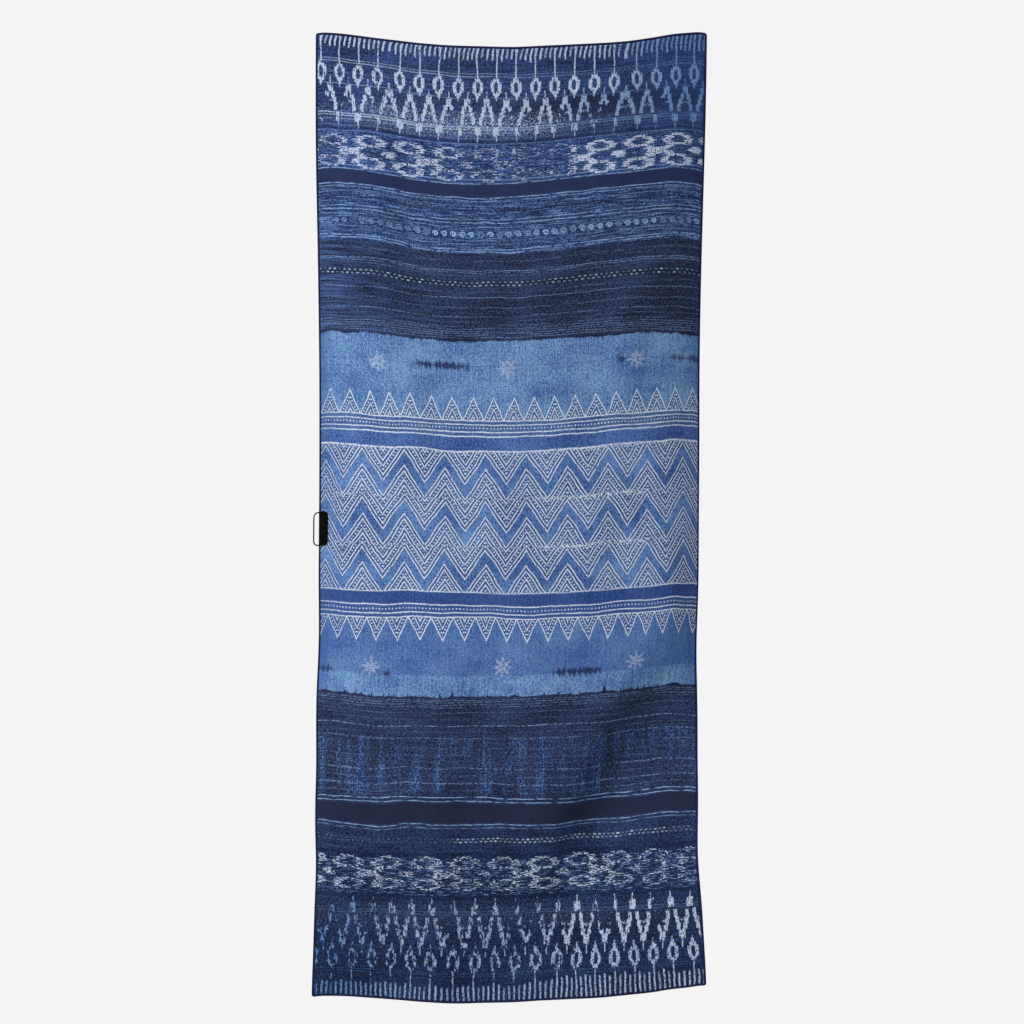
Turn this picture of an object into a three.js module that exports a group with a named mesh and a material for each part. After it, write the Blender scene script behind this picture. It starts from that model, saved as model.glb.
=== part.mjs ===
// A thin bath towel as it hangs, held up at the two ends of its top edge.
// Its pieces are the printed cloth, a narrow binding strip on each of its four edges, a small
// rubber patch on the left edge and the elastic hang loop that comes out of that patch.
// Millimetres. +Z is up, +X is to the right of the printed face and +Y points away from it.
// The origin is the middle of the top edge.
//
// Every piece is drawn on the flat towel first. A place there is a distance across, counted from
// the middle line to the right, a distance down from the top edge, and a distance out of the cloth
// on its printed side. hang() then moves that place to where it lies on the hanging cloth.
import * as THREE from 'three';

// Flat towel, bound edges included
const TOWEL_WIDTH = 762;
const TOWEL_LENGTH = 1841;
const CLOTH_THICKNESS = 1.6;
const PIECE_GAP = 0.3;

// Binding strip
const BINDING_WIDTH = 4.8;
const BINDING_THICKNESS = 2.4;
const TOWEL_CORNER = 4.5;

// Rubber patch, its left side a little inside the towel's left edge
const PATCH_TOP = 914;
const PATCH_HEIGHT = 66;
const PATCH_WIDTH = 19.5;
const PATCH_INSET = 1.4;
const PATCH_THICKNESS = 1.5;
const PATCH_CORNER = 8;

// Hang loop
const LOOP_THICKNESS = 2.6;
const LOOP_PROUD = 11.6;
const LOOP_CORNER = 9;
const LOOP_END_INSET = 0.4;
const LOOP_STEPS = 36;
const LOOP_SIDES = 5;

// Facets of the solids
const CLOTH_COLUMNS = 38;
const CLOTH_ROWS = 36;
const PATCH_COLUMNS = 4;
const PATCH_ROWS = 8;
const CORNER_ROWS = 4;

// Steps of the worked-out hanging shape
const LATTICE_COLUMNS = 127;
const LATTICE_ROWS = 184;
const SLOPE_STEP = 4;

// Folds. Each one turns the cloth away from the flat by turn degrees, within half mm of a line that
// runs from top mm across at the top edge to foot mm across at the bottom edge. A turn above 0 takes
// the cloth away from the viewer towards the right. It starts, is fullest and ends at these
// distances down.
const FOLDS = [
  { name: 'left edge rolled back', turn: -17.4, half: 84, top: -372, foot: -372, starts: -400, fullest: 900, ends: 1860 },
  { name: 'right edge rolled back', turn: 27, half: 104, top: 366, foot: 372, starts: -330, fullest: 1060, ends: 1700 },
  { name: 'left corner ridge, near side', turn: -12, half: 62, top: -400, foot: -60, starts: 30, fullest: 420, ends: 950 },
  { name: 'left corner ridge, far side', turn: 15, half: 60, top: -300, foot: 50, starts: 50, fullest: 420, ends: 900 },
  { name: 'right corner fold', turn: 9, half: 70, top: 330, foot: 120, starts: 20, fullest: 480, ends: 1200 },
  { name: 'valley, near side', turn: 24.5, half: 80, top: 960, foot: -60, starts: 980, fullest: 1400, ends: 2000 },
  { name: 'low ripple, left side', turn: 16.6, half: 70, top: -120, foot: -100, starts: 1080, fullest: 1440, ends: 1900 },
  { name: 'low ripple, right side', turn: -14.2, half: 66, top: 20, foot: 30, starts: 1080, fullest: 1440, ends: 1900 },
];

// The lower right part swings forward, right of a valley line that runs down to the left
const SWING_LINE = { top: 1013, foot: -3, soft: 78 };

// Whole-width shape by distance down. belly is the turn of the side edges in degrees, swing is the
// turn right of the valley line in degrees, and sway is where the middle of the width lies in mm.
const PROFILE = [
  { down: 0, belly: 10, swing: 0, sway: -2.3 },
  { down: 300, belly: 9.5, swing: 0, sway: -4.6 },
  { down: 700, belly: 14, swing: 0, sway: -5.7 },
  { down: 1080, belly: 13.6, swing: 0, sway: -7.7 },
  { down: 1240, belly: 16.2, swing: -15.3, sway: -9.9 },
  { down: 1400, belly: 21, swing: -32.2, sway: -12.1 },
  { down: 1560, belly: 13, swing: -36.5, sway: -15.3 },
  { down: 1700, belly: 7.7, swing: -23.6, sway: -12.1 },
  { down: 1841, belly: 4, swing: -9, sway: -9 },
];

// How far the top edge rises over its sagging middle, by distance across
const TOP_EDGE = [
  { across: -381, rise: 32.8 },
  { across: -366, rise: 33.4 },
  { across: -345, rise: 31.8 },
  { across: -315, rise: 28 },
  { across: -266, rise: 20.7 },
  { across: -218, rise: 14.1 },
  { across: -169, rise: 7.9 },
  { across: -120, rise: 3.8 },
  { across: -60, rise: 1.6 },
  { across: 0, rise: 0 },
  { across: 60, rise: 2.6 },
  { across: 120, rise: 5.7 },
  { across: 172, rise: 8.8 },
  { across: 221, rise: 13 },
  { across: 270, rise: 20.6 },
  { across: 318, rise: 29.5 },
  { across: 345, rise: 32.6 },
  { across: 366, rise: 34.4 },
  { across: 381, rise: 33 },
];

// The cloth hangs from its corners, so its own weight pulls it a little longer at its sides than
// down its middle: the share by which it is longer, by distance across
const PULL = [
  { across: -381, longer: 0.0128 },
  { across: -300, longer: 0.008 },
  { across: -200, longer: 0.0042 },
  { across: -100, longer: 0.0025 },
  { across: 0, longer: 0.0005 },
  { across: 100, longer: 0.0014 },
  { across: 200, longer: 0.0005 },
  { across: 300, longer: 0.0074 },
  { across: 381, longer: 0.018 },
];

const CLOTH_COLOUR = 0x35508f;
const BINDING_COLOUR = 0x12153f;
const PATCH_COLOUR = 0x0c0d10;
const LOOP_COLOUR = 0x101114;

const HALF_WIDTH = TOWEL_WIDTH / 2;
const EDGE_INSET = BINDING_WIDTH + PIECE_GAP;
const COLUMN_STEP = TOWEL_WIDTH / LATTICE_COLUMNS;
const ROW_STEP = TOWEL_LENGTH / LATTICE_ROWS;

function softStep(share) {
  const clamped = Math.min(Math.max(share, 0), 1);
  return clamped * clamped * (3 - 2 * clamped);
}

function softBump(share) {
  return Math.abs(share) < 1 ? Math.cos((Math.PI * share) / 2) ** 2 : 0;
}

// Slope of a table's column at one of its rows, level where the column turns back
function columnSlope(table, key, column, index) {
  const rise = (at) => (table[at + 1][column] - table[at][column]) / (table[at + 1][key] - table[at][key]);
  if (index === 0) return rise(0);
  if (index === table.length - 1) return rise(index - 1);
  const before = rise(index - 1);
  const after = rise(index);
  return before * after <= 0 ? 0 : (2 * before * after) / (before + after);
}

// Reads a column between the table's rows on a smooth curve that doesn't overshoot them
function readTable(table, key, column, at) {
  const last = table.length - 2;
  const found = table.findIndex((row) => row[key] > at) - 1;
  const index = found < -1 ? last : Math.min(Math.max(found, 0), last);
  const low = table[index];
  const high = table[index + 1];
  const span = high[key] - low[key];
  const k = Math.min(Math.max((at - low[key]) / span, 0), 1);
  const lowPart = (2 * k ** 3 - 3 * k ** 2 + 1) * low[column];
  const highPart = (3 * k ** 2 - 2 * k ** 3) * high[column];
  const lowSlope = (k ** 3 - 2 * k ** 2 + k) * span * columnSlope(table, key, column, index);
  const highSlope = (k ** 3 - k ** 2) * span * columnSlope(table, key, column, index + 1);
  return lowPart + lowSlope + highPart + highSlope;
}

// Line that runs from top at the top edge to foot at the bottom edge
function lineAt(line, down) {
  return line.top + ((line.foot - line.top) * down) / TOWEL_LENGTH;
}

function foldTurn(fold, across, down) {
  const growing = (down - fold.starts) / (fold.fullest - fold.starts);
  const fading = (fold.ends - down) / (fold.ends - fold.fullest);
  const strength = softStep(Math.min(growing, fading));
  return fold.turn * strength * softBump((across - lineAt(fold, down)) / fold.half);
}

// Angle of the cloth at a place, away from the viewer towards the right
function clothTurn(across, down, belly, swing) {
  const pastLine = (across - lineAt(SWING_LINE, down)) / SWING_LINE.soft;
  let degrees = (belly * across) / HALF_WIDTH;
  degrees += swing * softStep(pastLine / 2 + 0.5);
  for (const fold of FOLDS) {
    degrees += foldTurn(fold, across, down);
  }
  return THREE.MathUtils.degToRad(degrees);
}

// One level line of the cloth: it keeps its length and follows the turns
function levelLine(down) {
  const belly = readTable(PROFILE, 'down', 'belly', down);
  const swing = readTable(PROFILE, 'down', 'swing', down);
  const sway = readTable(PROFILE, 'down', 'sway', down);
  const line = [new THREE.Vector3()];
  for (let column = 1; column <= LATTICE_COLUMNS; column += 1) {
    const middle = -HALF_WIDTH + (column - 0.5) * COLUMN_STEP;
    const turn = clothTurn(middle, down, belly, swing);
    const stepOn = new THREE.Vector3(Math.cos(turn), Math.sin(turn), 0).multiplyScalar(COLUMN_STEP);
    line.push(line[column - 1].clone().add(stepOn));
  }
  const plumb = line.reduce((sum, point) => sum + point.y, 0) / line.length;
  const shift = new THREE.Vector3(sway - line[LATTICE_COLUMNS].x / 2, -plumb, 0);
  return line.map((point) => point.add(shift));
}

// The hanging cloth's middle layer: level lines hung one under another, each column at its length
function hangingLattice() {
  const lines = [];
  for (let row = 0; row <= LATTICE_ROWS; row += 1) {
    const line = levelLine(row * ROW_STEP);
    line.forEach((point, column) => {
      const across = -HALF_WIDTH + column * COLUMN_STEP;
      if (row === 0) {
        point.z = readTable(TOP_EDGE, 'across', 'rise', across);
        return;
      }
      const above = lines[row - 1][column];
      const sideways = (point.x - above.x) ** 2 + (point.y - above.y) ** 2;
      const pulled = ROW_STEP * (1 + readTable(PULL, 'across', 'longer', across));
      point.z = above.z - Math.sqrt(pulled ** 2 - sideways);
    });
    lines.push(line);
  }
  return lines;
}

const LATTICE = hangingLattice();

// A place on the middle layer, carried on straight past its edges
function middleLayer(across, down) {
  const columnAt = (across + HALF_WIDTH) / COLUMN_STEP;
  const rowAt = down / ROW_STEP;
  const column = Math.min(Math.max(Math.floor(columnAt), 0), LATTICE_COLUMNS - 1);
  const row = Math.min(Math.max(Math.floor(rowAt), 0), LATTICE_ROWS - 1);
  const high = LATTICE[row][column].clone().lerp(LATTICE[row][column + 1], columnAt - column);
  const low = LATTICE[row + 1][column].clone().lerp(LATTICE[row + 1][column + 1], columnAt - column);
  return high.lerp(low, rowAt - row);
}

const MIDDLE_OF_TOP_EDGE = middleLayer(0, 0);

// Moves a place on the flat towel to the hanging towel
function hang(across, down, out) {
  const right = middleLayer(across + SLOPE_STEP, down).sub(middleLayer(across - SLOPE_STEP, down));
  const fall = middleLayer(across, down + SLOPE_STEP).sub(middleLayer(across, down - SLOPE_STEP));
  const printedSide = fall.cross(right).normalize();
  return middleLayer(across, down).sub(MIDDLE_OF_TOP_EDGE).addScaledVector(printedSide, out);
}

// Volume inside a list of triangles, below 0 where they face inwards
function signedVolume(points, index) {
  let volume = 0;
  for (let corner = 0; corner < index.length; corner += 3) {
    const [a, b, c] = [0, 1, 2].map((step) => points[index[corner + step]]);
    volume += a.dot(b.clone().cross(c)) / 6;
  }
  return volume;
}

// Closed solid through rings of points. Each ring runs over the front and comes back over the rear,
// so its first and last points face each other.
function loftRings(rings) {
  const size = rings[0].length;
  const index = [];
  for (let ring = 0; ring < rings.length - 1; ring += 1) {
    for (let point = 0; point < size; point += 1) {
      const here = ring * size + point;
      const next = ring * size + ((point + 1) % size);
      index.push(here, here + size, next, next, here + size, next + size);
    }
  }
  const end = (rings.length - 1) * size;
  for (let point = 0; point < size / 2 - 1; point += 1) {
    const across = size - 1 - point;
    index.push(point, point + 1, across, point + 1, across - 1, across);
    index.push(end + point, end + across, end + point + 1, end + point + 1, end + across, end + across - 1);
  }
  const points = rings.flat();
  const geometry = new THREE.BufferGeometry().setFromPoints(points);
  geometry.setIndex(signedVolume(points, index) < 0 ? index.reverse() : index);
  geometry.computeVertexNormals();
  return geometry;
}

function evenStops(from, to, cells) {
  return Array.from({ length: cells + 1 }, (unused, stop) => from + ((to - from) * stop) / cells);
}

// Ring of a flat piece at one height: its front face left to right, then its rear face back
function flatRing(stops, down, front, rear) {
  const faced = stops.map((across) => hang(across, down, front));
  const backed = stops.map((across) => hang(across, down, rear));
  return [...faced, ...backed.reverse()];
}

const CLOTH_STOPS_ACROSS = evenStops(-HALF_WIDTH + EDGE_INSET, HALF_WIDTH - EDGE_INSET, CLOTH_COLUMNS);
const CLOTH_STOPS_DOWN = evenStops(EDGE_INSET, TOWEL_LENGTH - EDGE_INSET, CLOTH_ROWS);

function printedCloth() {
  const half = CLOTH_THICKNESS / 2;
  return loftRings(CLOTH_STOPS_DOWN.map((down) => flatRing(CLOTH_STOPS_ACROSS, down, half, -half)));
}

// Section of the binding: inward from the towel's edge, and out of the cloth. It runs round from
// the edge's front to its rear.
const HALF_BINDING = BINDING_THICKNESS / 2;
const BINDING_SECTION = [
  { inward: 0, out: HALF_BINDING * 0.35 },
  { inward: BINDING_WIDTH * 0.22, out: HALF_BINDING * 0.92 },
  { inward: BINDING_WIDTH * 0.55, out: HALF_BINDING },
  { inward: BINDING_WIDTH, out: HALF_BINDING * 0.9 },
];
const BINDING_RING = [
  ...BINDING_SECTION,
  ...BINDING_SECTION.map(({ inward, out }) => ({ inward, out: -out })).reverse(),
];

// Binding of the left side edge, -1, or the right one, 1, between the top and bottom bindings
function sideBinding(side) {
  const ringAt = (down) => BINDING_RING.map(({ inward, out }) => hang(side * (HALF_WIDTH - inward), down, out));
  return loftRings(CLOTH_STOPS_DOWN.map(ringAt));
}

// How far an outline draws in where it is this far from the end of a side with round corners
function drawIn(fromEnd, radius) {
  const intoCorner = Math.max(radius - fromEnd, 0);
  return radius - Math.sqrt(radius ** 2 - intoCorner ** 2);
}

// Distances from a side's end that follow its round corner
function cornerStops(radius) {
  return evenStops(0, Math.PI / 2, CORNER_ROWS).map((angle) => radius * (1 - Math.cos(angle)));
}

// Binding of the top or bottom edge, over the whole width and round the corners at its ends
function endBinding(downAt) {
  const ringAt = (across) => {
    const round = drawIn(HALF_WIDTH - Math.abs(across), TOWEL_CORNER) / BINDING_WIDTH;
    return BINDING_RING.map(({ inward, out }) => {
      const drawnIn = inward + (BINDING_WIDTH - inward) * round;
      return hang(across, downAt(drawnIn), out);
    });
  };
  const corner = cornerStops(TOWEL_CORNER).map((stop) => HALF_WIDTH - stop);
  const stops = [...corner.map((across) => -across), ...CLOTH_STOPS_ACROSS, ...corner.reverse()];
  return loftRings(stops.map(ringAt));
}

const PATCH_LEFT = -HALF_WIDTH + PATCH_INSET;
const PATCH_REAR = HALF_BINDING + PIECE_GAP;

function rubberPatch() {
  const corner = cornerStops(PATCH_CORNER);
  const middle = evenStops(PATCH_CORNER, PATCH_HEIGHT - PATCH_CORNER, PATCH_ROWS).slice(1, -1);
  const mirrored = corner.map((stop) => PATCH_HEIGHT - stop).reverse();
  const rings = [...corner, ...middle, ...mirrored].map((stop) => {
    const right = PATCH_LEFT + PATCH_WIDTH - drawIn(Math.min(stop, PATCH_HEIGHT - stop), PATCH_CORNER);
    const stops = evenStops(PATCH_LEFT, right, PATCH_COLUMNS);
    return flatRing(stops, PATCH_TOP + stop, PATCH_REAR + PATCH_THICKNESS, PATCH_REAR);
  });
  return loftRings(rings);
}

// Hang loop: out of the patch's left side near its top, down past the towel's edge and back in
function hangLoop() {
  const radius = LOOP_THICKNESS / 2;
  const start = PATCH_LEFT - PIECE_GAP;
  const far = -HALF_WIDTH - LOOP_PROUD + radius;
  const high = PATCH_TOP + LOOP_END_INSET + radius;
  const low = PATCH_TOP + PATCH_HEIGHT - LOOP_END_INSET - radius;
  const route = new THREE.Path();
  route.moveTo(start, high);
  route.lineTo(far + LOOP_CORNER, high);
  route.absarc(far + LOOP_CORNER, high + LOOP_CORNER, LOOP_CORNER, -Math.PI / 2, -Math.PI, true);
  route.lineTo(far, low - LOOP_CORNER);
  route.absarc(far + LOOP_CORNER, low - LOOP_CORNER, LOOP_CORNER, Math.PI, Math.PI / 2, true);
  route.lineTo(start, low);
  const out = HALF_BINDING + PIECE_GAP + radius;
  const points = route.getSpacedPoints(LOOP_STEPS).map((point) => hang(point.x, point.y, out));
  const section = new THREE.Shape().absarc(0, 0, radius, 0, Math.PI * 2);
  return new THREE.ExtrudeGeometry(section, {
    steps: LOOP_STEPS,
    curveSegments: LOOP_SIDES,
    extrudePath: new THREE.CatmullRomCurve3(points),
  });
}

function addPiece(towel, name, geometry, colour, roughness) {
  const material = new THREE.MeshStandardMaterial({ color: colour, roughness, metalness: 0 });
  const piece = new THREE.Mesh(geometry, material);
  piece.name = name;
  towel.add(piece);
}

const FABRIC_ROUGHNESS = 0.9;
const RUBBER_ROUGHNESS = 0.55;
const bathTowel = new THREE.Group();

addPiece(bathTowel, 'printed_cloth', printedCloth(), CLOTH_COLOUR, FABRIC_ROUGHNESS);
addPiece(bathTowel, 'binding_top', endBinding((inward) => inward), BINDING_COLOUR, FABRIC_ROUGHNESS);
addPiece(
  bathTowel,
  'binding_bottom',
  endBinding((inward) => TOWEL_LENGTH - inward),
  BINDING_COLOUR,
  FABRIC_ROUGHNESS,
);
addPiece(bathTowel, 'binding_left', sideBinding(-1), BINDING_COLOUR, FABRIC_ROUGHNESS);
addPiece(bathTowel, 'binding_right', sideBinding(1), BINDING_COLOUR, FABRIC_ROUGHNESS);
addPiece(bathTowel, 'rubber_patch', rubberPatch(), PATCH_COLOUR, RUBBER_ROUGHNESS);
addPiece(bathTowel, 'hang_loop', hangLoop(), LOOP_COLOUR, FABRIC_ROUGHNESS);

export default bathTowel;
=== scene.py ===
# The looks of a hanging bath towel: thin brushed microfibre cloth printed in worn indigo, a narrow
# overlocked edge, a small rubber patch on the left edge and the braided elastic loop beside it.
import math
from types import SimpleNamespace

import bpy
import numpy as np
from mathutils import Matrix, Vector


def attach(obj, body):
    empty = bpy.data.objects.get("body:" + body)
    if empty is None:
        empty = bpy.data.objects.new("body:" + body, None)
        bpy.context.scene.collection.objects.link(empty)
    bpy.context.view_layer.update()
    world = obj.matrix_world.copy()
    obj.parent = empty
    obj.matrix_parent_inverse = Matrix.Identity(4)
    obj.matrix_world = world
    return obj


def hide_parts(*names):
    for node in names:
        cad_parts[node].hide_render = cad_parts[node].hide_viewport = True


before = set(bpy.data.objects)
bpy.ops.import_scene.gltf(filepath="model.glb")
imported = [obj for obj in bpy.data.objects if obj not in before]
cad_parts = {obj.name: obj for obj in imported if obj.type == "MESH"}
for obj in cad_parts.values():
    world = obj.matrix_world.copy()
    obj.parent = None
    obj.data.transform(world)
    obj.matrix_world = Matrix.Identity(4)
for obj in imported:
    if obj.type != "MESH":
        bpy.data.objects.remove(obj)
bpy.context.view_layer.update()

# Sizes of the flat towel, in millimetres as in the part's source
TOWEL_WIDTH = 762.0
TOWEL_LENGTH = 1841.0
HALF_WIDTH = TOWEL_WIDTH / 2
CLOTH_THICKNESS = 1.6
PIECE_GAP = 0.3
BINDING_WIDTH = 4.8
BINDING_THICKNESS = 2.4
PATCH_TOP = 914.0
PATCH_HEIGHT = 66.0
PATCH_WIDTH = 19.5
PATCH_INSET = 1.4
PATCH_THICKNESS = 1.5
PATCH_CORNER = 8.0
LOOP_THICKNESS = 2.6
LOOP_PROUD = 11.6
LOOP_CORNER = 9.0
LOOP_END_INSET = 0.4
MM = 0.001

# Steps of the worked-out hanging shape
LATTICE_COLUMNS = 254
LATTICE_ROWS = 368
SLOPE_STEP = 4.0

# Folds: turn in degrees, half width, line from top to foot, and the downs where it starts, is
# fullest and ends
FOLDS = [
    (-17.4, 84, -372, -372, -400, 900, 1860),
    (27, 104, 366, 372, -330, 1060, 1700),
    (-12, 62, -400, -60, 30, 420, 950),
    (15, 60, -300, 50, 50, 420, 900),
    (9, 70, 330, 120, 20, 480, 1200),
    (24.5, 80, 960, -60, 980, 1400, 2000),
    (16.6, 70, -120, -100, 1080, 1440, 1900),
    (-14.2, 66, 20, 30, 1080, 1440, 1900),
]
SWING_TOP = 1013.0
SWING_FOOT = -3.0
SWING_SOFT = 78.0

# Down, belly turn, swing turn and sway of the whole width
PROFILE = [
    (0, 10, 0, -2.3),
    (300, 9.5, 0, -4.6),
    (700, 14, 0, -5.7),
    (1080, 13.6, 0, -7.7),
    (1240, 16.2, -15.3, -9.9),
    (1400, 21, -32.2, -12.1),
    (1560, 13, -36.5, -15.3),
    (1700, 7.7, -23.6, -12.1),
    (1841, 4, -9, -9),
]

# Across and rise of the top edge over its sagging middle
TOP_EDGE = [
    (-381, 32.8), (-366, 33.4), (-345, 31.8), (-315, 28), (-266, 20.7), (-218, 14.1), (-169, 7.9),
    (-120, 3.8), (-60, 1.6), (0, 0), (60, 2.6), (120, 5.7), (172, 8.8), (221, 13), (270, 20.6),
    (318, 29.5), (345, 32.6), (366, 34.4), (381, 33),
]

# Across, and the share by which the cloth's own weight pulls it longer there
PULL = [
    (-381, 0.0128), (-300, 0.008), (-200, 0.0042), (-100, 0.0025), (0, 0.0005), (100, 0.0014),
    (200, 0.0005), (300, 0.0074), (381, 0.018),
]

# Small creases laid over the folds: height out of the cloth, half width, and the across and down
# where each one starts and ends
CREASES = [
    (3.0, 26, -318, 70, -262, 330),
    (2.6, 24, -262, 330, -215, 640),
    (-2.4, 30, -236, 120, -150, 520),
    (1.8, 34, -60, 240, -20, 700),
    (-1.6, 30, 60, 160, 90, 620),
    (2.2, 26, 250, 60, 180, 420),
    (-2.0, 26, 318, 90, 262, 470),
    (-2.6, 22, 345, 1150, 210, 1390),
    (2.4, 26, 150, 1300, 60, 1640),
    (-2.0, 26, -190, 1180, -160, 1700),
    (2.2, 24, -300, 1240, -280, 1760),
    (1.6, 20, 300, 1480, 250, 1800),
]

CREASE_RUN_OUT = 1.15
CALM_EDGE = 60.0

# Slow waves of handled cloth: height, then wave length across and down, and phase
HANDLING_WAVES = [
    (0.9, 210, 620, 0.4),
    (0.7, 148, -940, 2.1),
    (0.45, 96, 480, 4.0),
    (0.3, 61, -350, 1.2),
]


def soft_step(share):
    held = np.clip(share, 0.0, 1.0)
    return held * held * (3.0 - 2.0 * held)


def soft_bump(share):
    return np.where(np.abs(share) < 1.0, np.cos(np.pi * np.clip(share, -1.0, 1.0) / 2.0) ** 2, 0.0)


def read_table(table, column, at):
    """Reads a column between the table's rows on a smooth curve that doesn't overshoot them."""
    rows = np.array(table, float)
    keys = rows[:, 0]
    values = rows[:, column]
    rises = np.diff(values) / np.diff(keys)
    slopes = np.zeros(len(keys))
    slopes[0] = rises[0]
    slopes[-1] = rises[-1]
    for index in range(1, len(keys) - 1):
        before = rises[index - 1]
        after = rises[index]
        if before * after > 0:
            slopes[index] = 2 * before * after / (before + after)
    at = np.clip(at, keys[0], keys[-1])
    low = np.clip(np.searchsorted(keys, at, side="right") - 1, 0, len(keys) - 2)
    span = keys[low + 1] - keys[low]
    k = (at - keys[low]) / span
    low_part = (2 * k**3 - 3 * k**2 + 1) * values[low]
    high_part = (3 * k**2 - 2 * k**3) * values[low + 1]
    low_slope = (k**3 - 2 * k**2 + k) * span * slopes[low]
    high_slope = (k**3 - k**2) * span * slopes[low + 1]
    return low_part + low_slope + high_part + high_slope


def line_at(top, foot, down):
    return top + (foot - top) * down / TOWEL_LENGTH


def cloth_turn(across, down):
    """Angle of the cloth away from the viewer towards the right, in radians."""
    past_line = (across - line_at(SWING_TOP, SWING_FOOT, down)) / SWING_SOFT
    degrees = read_table(PROFILE, 1, down) * across / HALF_WIDTH
    degrees = degrees + read_table(PROFILE, 2, down) * soft_step(past_line / 2 + 0.5)
    for turn, half, top, foot, starts, fullest, ends in FOLDS:
        growing = (down - starts) / (fullest - starts)
        fading = (ends - down) / (ends - fullest)
        strength = soft_step(np.minimum(growing, fading))
        degrees = degrees + turn * strength * soft_bump((across - line_at(top, foot, down)) / half)
    return np.radians(degrees)


def hanging_lattice():
    """The hanging cloth's middle layer: level lines hung one under another, in millimetres."""
    column_step = TOWEL_WIDTH / LATTICE_COLUMNS
    row_step = TOWEL_LENGTH / LATTICE_ROWS
    edges = np.linspace(-HALF_WIDTH, HALF_WIDTH, LATTICE_COLUMNS + 1)
    downs = np.linspace(0, TOWEL_LENGTH, LATTICE_ROWS + 1)
    across, down = np.meshgrid(edges[:-1] + column_step / 2, downs)
    turns = cloth_turn(across, down)
    start = np.zeros((LATTICE_ROWS + 1, 1))
    x = np.concatenate([start, np.cumsum(np.cos(turns) * column_step, axis=1)], axis=1)
    y = np.concatenate([start, np.cumsum(np.sin(turns) * column_step, axis=1)], axis=1)
    x = x - x[:, -1:] / 2 + read_table(PROFILE, 3, downs)[:, None]
    y = y - y.mean(axis=1, keepdims=True)
    z = np.zeros_like(x)
    z[0] = read_table(TOP_EDGE, 1, edges)
    pulled = row_step * (1 + read_table(PULL, 1, edges))
    for row in range(1, LATTICE_ROWS + 1):
        sideways = (x[row] - x[row - 1]) ** 2 + (y[row] - y[row - 1]) ** 2
        z[row] = z[row - 1] - np.sqrt(pulled**2 - sideways)
    lattice = np.stack([x, y, z], axis=-1)
    return lattice - lattice[0, LATTICE_COLUMNS // 2]


LATTICE = hanging_lattice()


def middle_layer(across, down):
    """Places on the middle layer, carried on straight past its edges."""
    column_at = (across + HALF_WIDTH) * LATTICE_COLUMNS / TOWEL_WIDTH
    row_at = down * LATTICE_ROWS / TOWEL_LENGTH
    column = np.clip(np.floor(column_at).astype(int), 0, LATTICE_COLUMNS - 1)
    row = np.clip(np.floor(row_at).astype(int), 0, LATTICE_ROWS - 1)
    right = (column_at - column)[..., None]
    lower = (row_at - row)[..., None]
    high = LATTICE[row, column] * (1 - right) + LATTICE[row, column + 1] * right
    low = LATTICE[row + 1, column] * (1 - right) + LATTICE[row + 1, column + 1] * right
    return high * (1 - lower) + low * lower


def relief(across, down):
    """How far the small creases and the handled cloth's waves stand out of the main folds."""
    height = np.zeros_like(across)
    for rise, half, from_across, from_down, to_across, to_down in CREASES:
        run = np.array([to_across - from_across, to_down - from_down], float)
        length = np.hypot(*run)
        along = ((across - from_across) * run[0] + (down - from_down) * run[1]) / length
        beside = ((across - from_across) * run[1] - (down - from_down) * run[0]) / length
        ends = soft_bump((along / length - 0.5) * 2 / CREASE_RUN_OUT)
        height = height + rise * ends * soft_bump(beside / half)
    for rise, wave_across, wave_down, phase in HANDLING_WAVES:
        height = height + rise * np.sin(math.tau * (across / wave_across + down / wave_down) + phase)
    edge = np.minimum(HALF_WIDTH - np.abs(across), np.minimum(down, TOWEL_LENGTH - down))
    return height * soft_step(edge / CALM_EDGE + 0.35)


def hang(across, down, out):
    """Moves places on the flat towel to the hanging towel, in metres."""
    across = np.asarray(across, float)
    down = np.asarray(down, float)
    out = np.asarray(out, float)
    right = middle_layer(across + SLOPE_STEP, down) - middle_layer(across - SLOPE_STEP, down)
    fall = middle_layer(across, down + SLOPE_STEP) - middle_layer(across, down - SLOPE_STEP)
    printed_side = np.cross(fall, right)
    printed_side /= np.linalg.norm(printed_side, axis=-1, keepdims=True)
    proud = (out + relief(across, down))[..., None]
    return (middle_layer(across, down) + printed_side * proud) * MM


# How far the print's level lines dip below straight, in millimetres: a row for each down of the
# print at the towel's middle, and a column for each of WAVER_ACROSS, counted from the left edge
WAVER_ACROSS = [0, 55, 120, 200, 300, 430, 610, 690, 762]
WAVER = [
    (0, 0, 0, 0, 0, 0, 0, 0, 0, 0),
    (60, -7, -5, -6, -1, 0.5, 0.5, -2, -0.5, 3),
    (200, -4, -3.5, -6.5, -2.5, 0, -3, -11.5, -7, 0),
    (264, -5, -7, -6, -2, 1, -5, -12.5, -10.5, -1.5),
    (340, -0.5, -2, -6, -1.5, 2, -1.5, -9.5, -5, 1.5),
    (391, -6.5, -5.5, -8, -2, 1, -2, -12.5, -10, -3.5),
    (563, 6, 5, 1.5, 2, 2, -1, -4, 5, 10),
    (720, 8, 5.5, 4, -1, 0, 0, -3, -1, 2.5),
    (777, 6, 7, 6, -0.5, 1, 0, -3, 0, 0),
    (1049, 11, 14, 10, 1, -1, 1.5, 2.5, 3, 1),
    (1095, 12, 16.5, 14, 2.4, -1, 3.5, 4, 4, 4.8),
    (1249, 8, 11.5, 12, 4.5, 1, -2, 0.5, 0, -4),
    (1444, 12, 15, 12, 0, -3, 1.5, 7, 3, 3),
    (1496, 8, 12, 13, 1, -1, -1, 3, 0, 1),
    (1560, 4, 12, 9, 3, -1, 1, 4, 7, 8),
    (1841, 0, 0, 0, 0, 0, 0, 0, 0, 0),
]


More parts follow.
